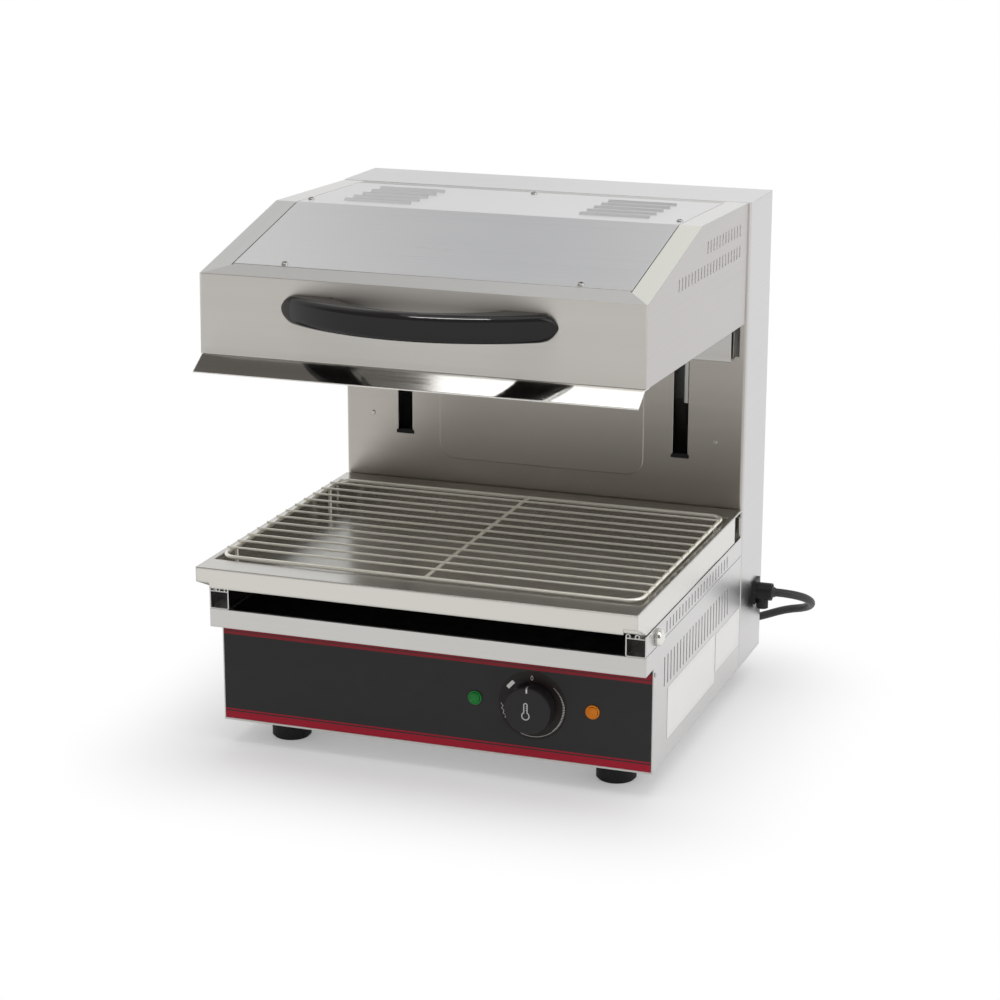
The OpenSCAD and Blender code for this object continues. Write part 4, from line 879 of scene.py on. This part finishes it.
def brushed(name, color, rough, spread, bump=0.035, edge=0.0012, smear=0.0, mitred=False,
            front=None, side=None):
    """Brushed or polished metal. Its front and side faces may be painted darker, a painted shade for
    the weaker light that reaches them.
    """
    material, tree, shader = finish_material(name, Metallic=1.0, Anisotropic=smear)
    coords = tree.nodes.new("ShaderNodeTexCoord").outputs["Object"]
    lengthwise = side_grain(tree, mitred)
    across = add_node(tree, "Mapping", Vector=coords, Scale=(ALONG, GRAIN, GRAIN)).outputs[0]
    on_side = abs(facing(tree)[0]) > SQUARE_ON
    scales = add_node(tree, "Mix", data_type="VECTOR", i0=on_side.value,
                      i4=(GRAIN, ALONG, ALONG), i5=(GRAIN, ALONG, GRAIN))
    along = add_node(tree, "Mapping", Vector=coords, Scale=scales.outputs[1]).outputs[0]
    lines = add_node(tree, "Mix", data_type="VECTOR", i0=lengthwise.value, i4=across, i5=along)
    scratches = noise(tree, lines.outputs[1], 1.0, 3.0, 0.6)
    patches = noise(tree, coords, 5.0)
    unevenness = scratches.ranged(0.3, 0.7, -spread, spread)
    unevenness += patches.ranged(0.3, 0.7, -spread / 2, spread / 2)
    tree.links.new((unevenness + rough).value, shader.inputs["Roughness"])
    if smear:
        shader.inputs["Anisotropic Rotation"].default_value = 0.25
        grain_line = add_node(tree, "Mix", data_type="VECTOR", i0=lengthwise.value,
                              i4=(1, 0, 0), i5=(0, 1, 0))
        tree.links.new(grain_line.outputs[1], shader.inputs["Tangent"])
    shade = scratches.ranged(0.25, 0.75, 0.0, 0.7) + patches.ranged(0.3, 0.7, 0.0, 0.3)
    dark = tuple(c * 0.97 for c in color)
    light = tuple(min(1.0, c * 1.03) for c in color)
    tree.links.new(mixed_color(tree, shade, dark, light), shader.inputs["Base Color"])
    to_side, to_rear, _ = facing(tree)
    # Painted shade: faces to the front and to the sides get a darker colour for the weaker light that
    # reaches them.
    if front:
        overprint_or_paint_light(tree, shader, to_rear < -SQUARE_ON, front)
    if side:
        overprint_or_paint_light(tree, shader, abs(to_side) > SQUARE_ON, side)
    rounded_edges(tree, shader, edge, scratches, bump)
    return material, tree, shader


# %% [markdown]
# Plastic, rubber, enamel and wire have no grain. Their surface is a little uneven all the same,
# in colour, in gloss and in height, and two noises of different size give that.

# %% Finishes without a grain


def mottled(name, color, rough, metallic=0.0, scale=60.0, spread=0.08, bump=0.1, edge=0.0005,
            change=0.12, **sockets):
    """A finish with a fine, even unevenness in colour, gloss and surface."""
    material, tree, shader = finish_material(name, Metallic=metallic, **sockets)
    coords = tree.nodes.new("ShaderNodeTexCoord").outputs["Object"]
    fine = noise(tree, coords, scale, 3.0)
    broad = noise(tree, coords, 9.0)
    gloss = fine.ranged(0.25, 0.75, rough - spread, rough + spread)
    tree.links.new(gloss.value, shader.inputs["Roughness"])
    dark = tuple(c * (1 - change) for c in color)
    light = tuple(min(1.0, c * (1 + change)) for c in color)
    shade = (fine + broad) * 0.5
    tree.links.new(mixed_color(tree, shade, dark, light), shader.inputs["Base Color"])
    rounded_edges(tree, shader, edge, fine, bump)
    return material, tree, shader


# %% [markdown]
# Each slot of the record gets its finish. Steel first: the sheets look alike by the yard, but
# each is rolled, brushed or polished in its own way. Faces to the front and to the sides have a
# tint of their own, which stands for the weaker light from the studio's own walls. Shiny sheet
# has a low roughness, and a strong smear stands for coarse brushing.

# %% The metal finishes
finishes = {
    "brushed_sheet": brushed("brushed_steel", (0.80, 0.80, 0.80), 0.30, 0.02, smear=0.72,
                             front=(0.60, 0.59, 0.57), side=(0.60, 0.595, 0.59)),
    "head_sheet": brushed("head_steel", (0.72, 0.715, 0.70), 0.38, 0.02, smear=0.85, mitred=True,
                          front=(0.68, 0.66, 0.62), side=(0.52, 0.495, 0.495)),
    "column_sheet": brushed("column_steel", (0.76, 0.755, 0.745), 0.30, 0.02, smear=0.75,
                            front=(0.47, 0.445, 0.405), side=(0.58, 0.57, 0.57)),
    "tray_sheet": brushed("tray_steel", (0.66, 0.65, 0.62), 0.24, 0.02, smear=0.5, edge=0.0028,
                          bump=0.015, front=(0.63, 0.615, 0.57)),
    "arm_sheet": brushed("arm_steel", (0.85, 0.84, 0.81), 0.45, 0.02),
    "polished_sheet": brushed("polished_steel", (0.76, 0.75, 0.715), 0.10, 0.015, bump=0.015),
    "deflector_sheet": brushed("deflector_steel", (0.76, 0.75, 0.72), 0.08, 0.015, bump=0.015),
    "zinc_steel": brushed("zinc_plate", (0.52, 0.52, 0.51), 0.34, 0.08),
    "ground_rod": brushed("ground_rod", (0.75, 0.75, 0.74), 0.12, 0.04),
    "bush_brass": brushed("bush_brass", (0.7, 0.52, 0.25), 0.25, 0.06),
    "spring_steel": brushed("spring_steel", (0.6, 0.6, 0.59), 0.25, 0.06),
    "plated_screw": brushed("plated_screw", (0.50, 0.49, 0.47), 0.24, 0.03, edge=0.0002, bump=0.03),
    "plated_brass": brushed("plated_brass", (0.72, 0.70, 0.64), 0.16, 0.04, edge=0.0002, bump=0.05),
    "rack_wire": mottled("rack_wire", (0.97, 0.94, 0.85), 0.30, metallic=0.6, scale=25.0,
                         change=0.04, spread=0.03, bump=0.01, edge=0.0002),
    "thermostat_case": mottled("thermostat_case", (0.4, 0.4, 0.4), 0.35, metallic=1.0),
    "element_sheath": mottled("element_sheath", (0.14, 0.13, 0.12), 0.45, metallic=0.8,
                              scale=200.0),
}
print("metals:", len(finishes))

# %% [markdown]
# Black parts are never quite black, and how they differ is mostly gloss: the handle is like
# glass, the knob and the plug are satin, rubber is dull. Their specular level is lowered, so
# that the pale counter doesn't wash them out.

# %% The plastics and the rest
finishes |= {
    "handle_black": mottled("handle_black", (0.0075, 0.0070, 0.0070), 0.07, scale=30.0,
                            spread=0.015, bump=0.005, Specular_IOR_Level=0.22),
    "knob_plastic": mottled("knob_plastic", (0.0195, 0.018, 0.020), 0.38, scale=400.0, bump=0.03,
                            Specular_IOR_Level=0.2),
    "black_plastic": mottled("black_plastic", (0.015, 0.0145, 0.0145), 0.42, scale=500.0, bump=0.12,
                             Specular_IOR_Level=0.25),
    "black_rubber": mottled("black_rubber", (0.010, 0.010, 0.010), 0.6, scale=700.0, bump=0.2,
                            Specular_IOR_Level=0.25),
    "cable_sheath": mottled("cable_sheath", (0.028, 0.029, 0.03), 0.5, scale=900.0, bump=0.25),
    "black_enamel": mottled("black_enamel", (0.012, 0.012, 0.011), 0.5),
    "printed_fascia": mottled("printed_film", (0.021, 0.020, 0.0205), 0.42, change=0.06,
                              Specular_IOR_Level=0.22),
    "green_lens": mottled("green_lens", (0.008, 0.22, 0.035), 0.16, spread=0.04, bump=0.02,
                          Specular_IOR_Level=0.3),
    "orange_lens": mottled("orange_lens", (0.72, 0.21, 0.003), 0.16, spread=0.04, bump=0.02,
                           Specular_IOR_Level=0.3),
    "terminal_ceramic": mottled("terminal_ceramic", (0.8, 0.77, 0.68), 0.2),
    "white_label": mottled("white_label", (0.8, 0.795, 0.785), 0.35, change=0.02),
    "mineral_wool": mottled("mineral_wool", (0.7, 0.64, 0.5), 0.95, scale=300.0, bump=1.0,
                            spread=0.04),
}
print("finishes:", len(finishes))

# %% [markdown]
# The folded strip on the head's right gets a painted highlight, a brighter colour where it catches
# the light, and a narrow painted shadow runs along the seam beside the cover on both slopes. Both are
# painted over the steel by their place.

# %% The head's strips
GAP_START_Y, SLOPE_END_Y, GAP_END_Y, GAP_WIDE = -425.0, -268.0, -272.0, 1.0
_, tree, shader = finishes["head_sheet"]
x, y, _ = place_mm(tree)
strip_faces = (abs(facing(tree)[0]) < SQUARE_ON) * (facing(tree)[1] > -SQUARE_ON)
# Painted highlight: the right strip is painted brighter where it catches the light.
right_strip_painted_highlight = strip_faces * (x - FOLD > mitre(y)) * (y < SLOPE_END_Y)
overprint_or_paint_light(tree, shader, right_strip_painted_highlight, (0.95, 0.95, 0.88))
# Painted shadow: a narrow dark line for the shade in the seam beside the cover.
gap_painted_shadow = (abs(x) - FOLD).within(-0.2, GAP_WIDE) * y.within(GAP_START_Y, GAP_END_Y)
overprint_or_paint_light(tree, shader, gap_painted_shadow, (0.06, 0.06, 0.055))
print("head finish nodes:", len(tree.nodes))

# %% [markdown]
# The deflector is a thin polished sheet, pulled forwards a little between its folds. Its solid
# is flat there, and in a mirror even a few degrees show, so the shading leans forwards.

# %% The deflector's bow
BOW = (0, -0.10, 0)
_, tree, shader = finishes["deflector_sheet"]
flat = shader.inputs["Normal"].links[0].from_socket
bowed = add_node(tree, "VectorMath", operation="ADD", i0=flat, i1=BOW)
bowed = add_node(tree, "VectorMath", operation="NORMALIZE", i0=bowed.outputs[0])
tree.links.new(bowed.outputs[0], shader.inputs["Normal"])
print("lean, degrees:", round(math.degrees(math.atan(-BOW[1])), 1))

# %% [markdown]
# The control panel carries a dark printed film. It has two pairs of red lines, a nought, a mark for
# full heat and a wedge of fine hatching that grows as the knob turns, and it is darker and browner in
# a disc round the knob. Print has no thickness, so it is worked out in the film's own material.

# %% The print on the film
RED, DIM_RED, BROWN = (0.31, 0.004, 0.020), (0.22, 0.010, 0.019), (0.014, 0.0095, 0.0085)
PRINT_WHITE, PRINT_GREY, PRINT_DIM = (0.5, 0.5, 0.49), (0.42, 0.42, 0.42), (0.26, 0.26, 0.26)
BANDS = [(30.0, 37.7, RED), (39.0, 40.5, RED), (119.6, 122.6, DIM_RED), (123.4, 129.0, DIM_RED)]
DISC_R = 35.0
_, tree, shader = finishes["printed_fascia"]
x, _, z = place_mm(tree)
u, v = x - KNOB_X, z - CONTROL_Z
from_axis = distance(u, v)
angle = v.by("ARCTAN2", u) * (180 / math.pi)
# The film is darker and browner in a disc round the knob.
overprint_or_paint_light(tree, shader, from_axis < DISC_R, BROWN)
for low, high, color in BANDS:
    overprint_or_paint_light(tree, shader, z.within(low, high), color)
print("bands:", len(BANDS))

# %% [markdown]
# A scale round a knob is easiest in polar places: the distance from the axis, and the angle
# round it. The wedge's hatches come every three degrees, and it gets wider with the angle.

# %% The scale round the knob
hatches = (angle / 3.0).by("FRACT").within(0.0, 0.5)
wedge_r = angle.ranged(44.0, 5.0, 29.4, 31.7)
wedge_half = angle.ranged(44.0, 0.0, 0.3, 1.0).least(angle.ranged(-50.0, 0.0, 0.7, 1.0))
on_wedge = (abs(from_axis - wedge_r) - wedge_half < 0.0) * angle.within(-50.0, 44.0)
overprint_or_paint_light(tree, shader, hatches * on_wedge, PRINT_WHITE)
overprint_or_paint_light(tree, shader, angle.within(-112.0, -50.0) * from_axis.within(31.6, 32.4), PRINT_DIM)
wave = (angle * 0.7).by("SINE") * 0.7 + 31.4
overprint_or_paint_light(tree, shader, angle.within(-178.0, -150.0) * (abs(from_axis - wave) < 0.4), PRINT_GREY)
nought = distance((u + 0.8) / 1.35, (v - 27.9) / 2.5)
overprint_or_paint_light(tree, shader, nought.within(0.6, 1.0), PRINT_GREY)
MARK_U, MARK_V, TILT = -22.5, 18.9, math.radians(47)
along_mark = (u - MARK_U) * math.cos(TILT) + (v - MARK_V) * math.sin(TILT)
across_mark = (v - MARK_V) * math.cos(TILT) - (u - MARK_U) * math.sin(TILT)
overprint_or_paint_light(tree, shader, (abs(along_mark) < 4.6) * (abs(across_mark) < 1.9), (0.72, 0.72, 0.70))
print("film nodes:", len(tree.nodes))

# %% [markdown]
# The knob's face shows a small thermometer in outline and a pale line at its rim. The outline
# is where the distance to a circle and a bar is nearly nought, and a few ticks stand beside it.

# %% The print on the knob
ICON_U, BULB_V, STEM_TOP, BULB_R, STEM_R = -1.4, -5.3, 5.9, 3.7, 1.7
_, tree, shader = finishes["knob_plastic"]
x, y, z = place_mm(tree)
u, v = x - KNOB_X, z - CONTROL_Z
front = facing(tree)[1] < -0.9
bulb = distance(u - ICON_U, v - BULB_V) - BULB_R
stem = distance(u - ICON_U, v - v.most(BULB_V).least(STEM_TOP)) - STEM_R
ticks = ((v - 0.4) / 1.9).by("FRACT").within(0.0, 0.3)
ticks = (u - ICON_U).within(0.2, 1.6) * ticks * v.within(-0.6, 6.0)
icon = ((abs(bulb.least(stem)) < 0.6).most(ticks)) * front
overprint_or_paint_light(tree, shader, icon, (0.42, 0.42, 0.42))
pointer = abs(u + 0.5) < 0.8
overprint_or_paint_light(tree, shader, pointer * (v > 18.0) * front, (0.60, 0.60, 0.58))
on_rim = (v > 22.0) * (y < PANEL_Y - KNOB_LENGTH + 4.5)
overprint_or_paint_light(tree, shader, pointer * on_rim, (0.30, 0.30, 0.29))
print("knob finish nodes:", len(tree.nodes))

# %% [markdown]
# The two stickers on the right side are bare, with a thin grey line round them.

# %% The stickers
STICKERS = [(-366.0, -191.0, 47.0, 100.0), (-188.0, -93.0, 57.0, 98.0)]  # front, rear, low, high
_, tree, shader = finishes["white_label"]
_, y, z = place_mm(tree)
for front_y, rear_y, low, high in STICKERS:
    out_y = abs(y - (front_y + rear_y) / 2) - (rear_y - front_y) / 2
    out_z = abs(z - (low + high) / 2) - (high - low) / 2
    corner = distance((out_y + 7.0).most(0.0), (out_z + 7.0).most(0.0)) - 4.0
    overprint_or_paint_light(tree, shader, corner.within(-0.4, 0.0), (0.6, 0.6, 0.61))
print("stickers:", len(STICKERS))

# %% [markdown]
# Every solid takes the finish of its slot, except a few sheets that have one of their own, and
# every new piece takes the finish that it was kept with.

# %% Finishes on all pieces
OWN_FINISH = {"deflector": "deflector_sheet", "head_shell": "head_sheet", "drip_tray": "tray_sheet",
              "column_wrap": "column_sheet", "arm_left": "arm_sheet", "arm_right": "arm_sheet"}
for part in frame["record"]["subparts"]:
    node = frame["nodes"][part["node"]]
    node.data.materials.clear()
    finish = OWN_FINISH.get(part["node"], part["material_slot"])
    node.data.materials.append(finishes[finish][0])
for piece, finish in made:
    piece.data.materials.clear()
    piece.data.materials.append(finishes[finish][0])
print("new pieces:", len(made))
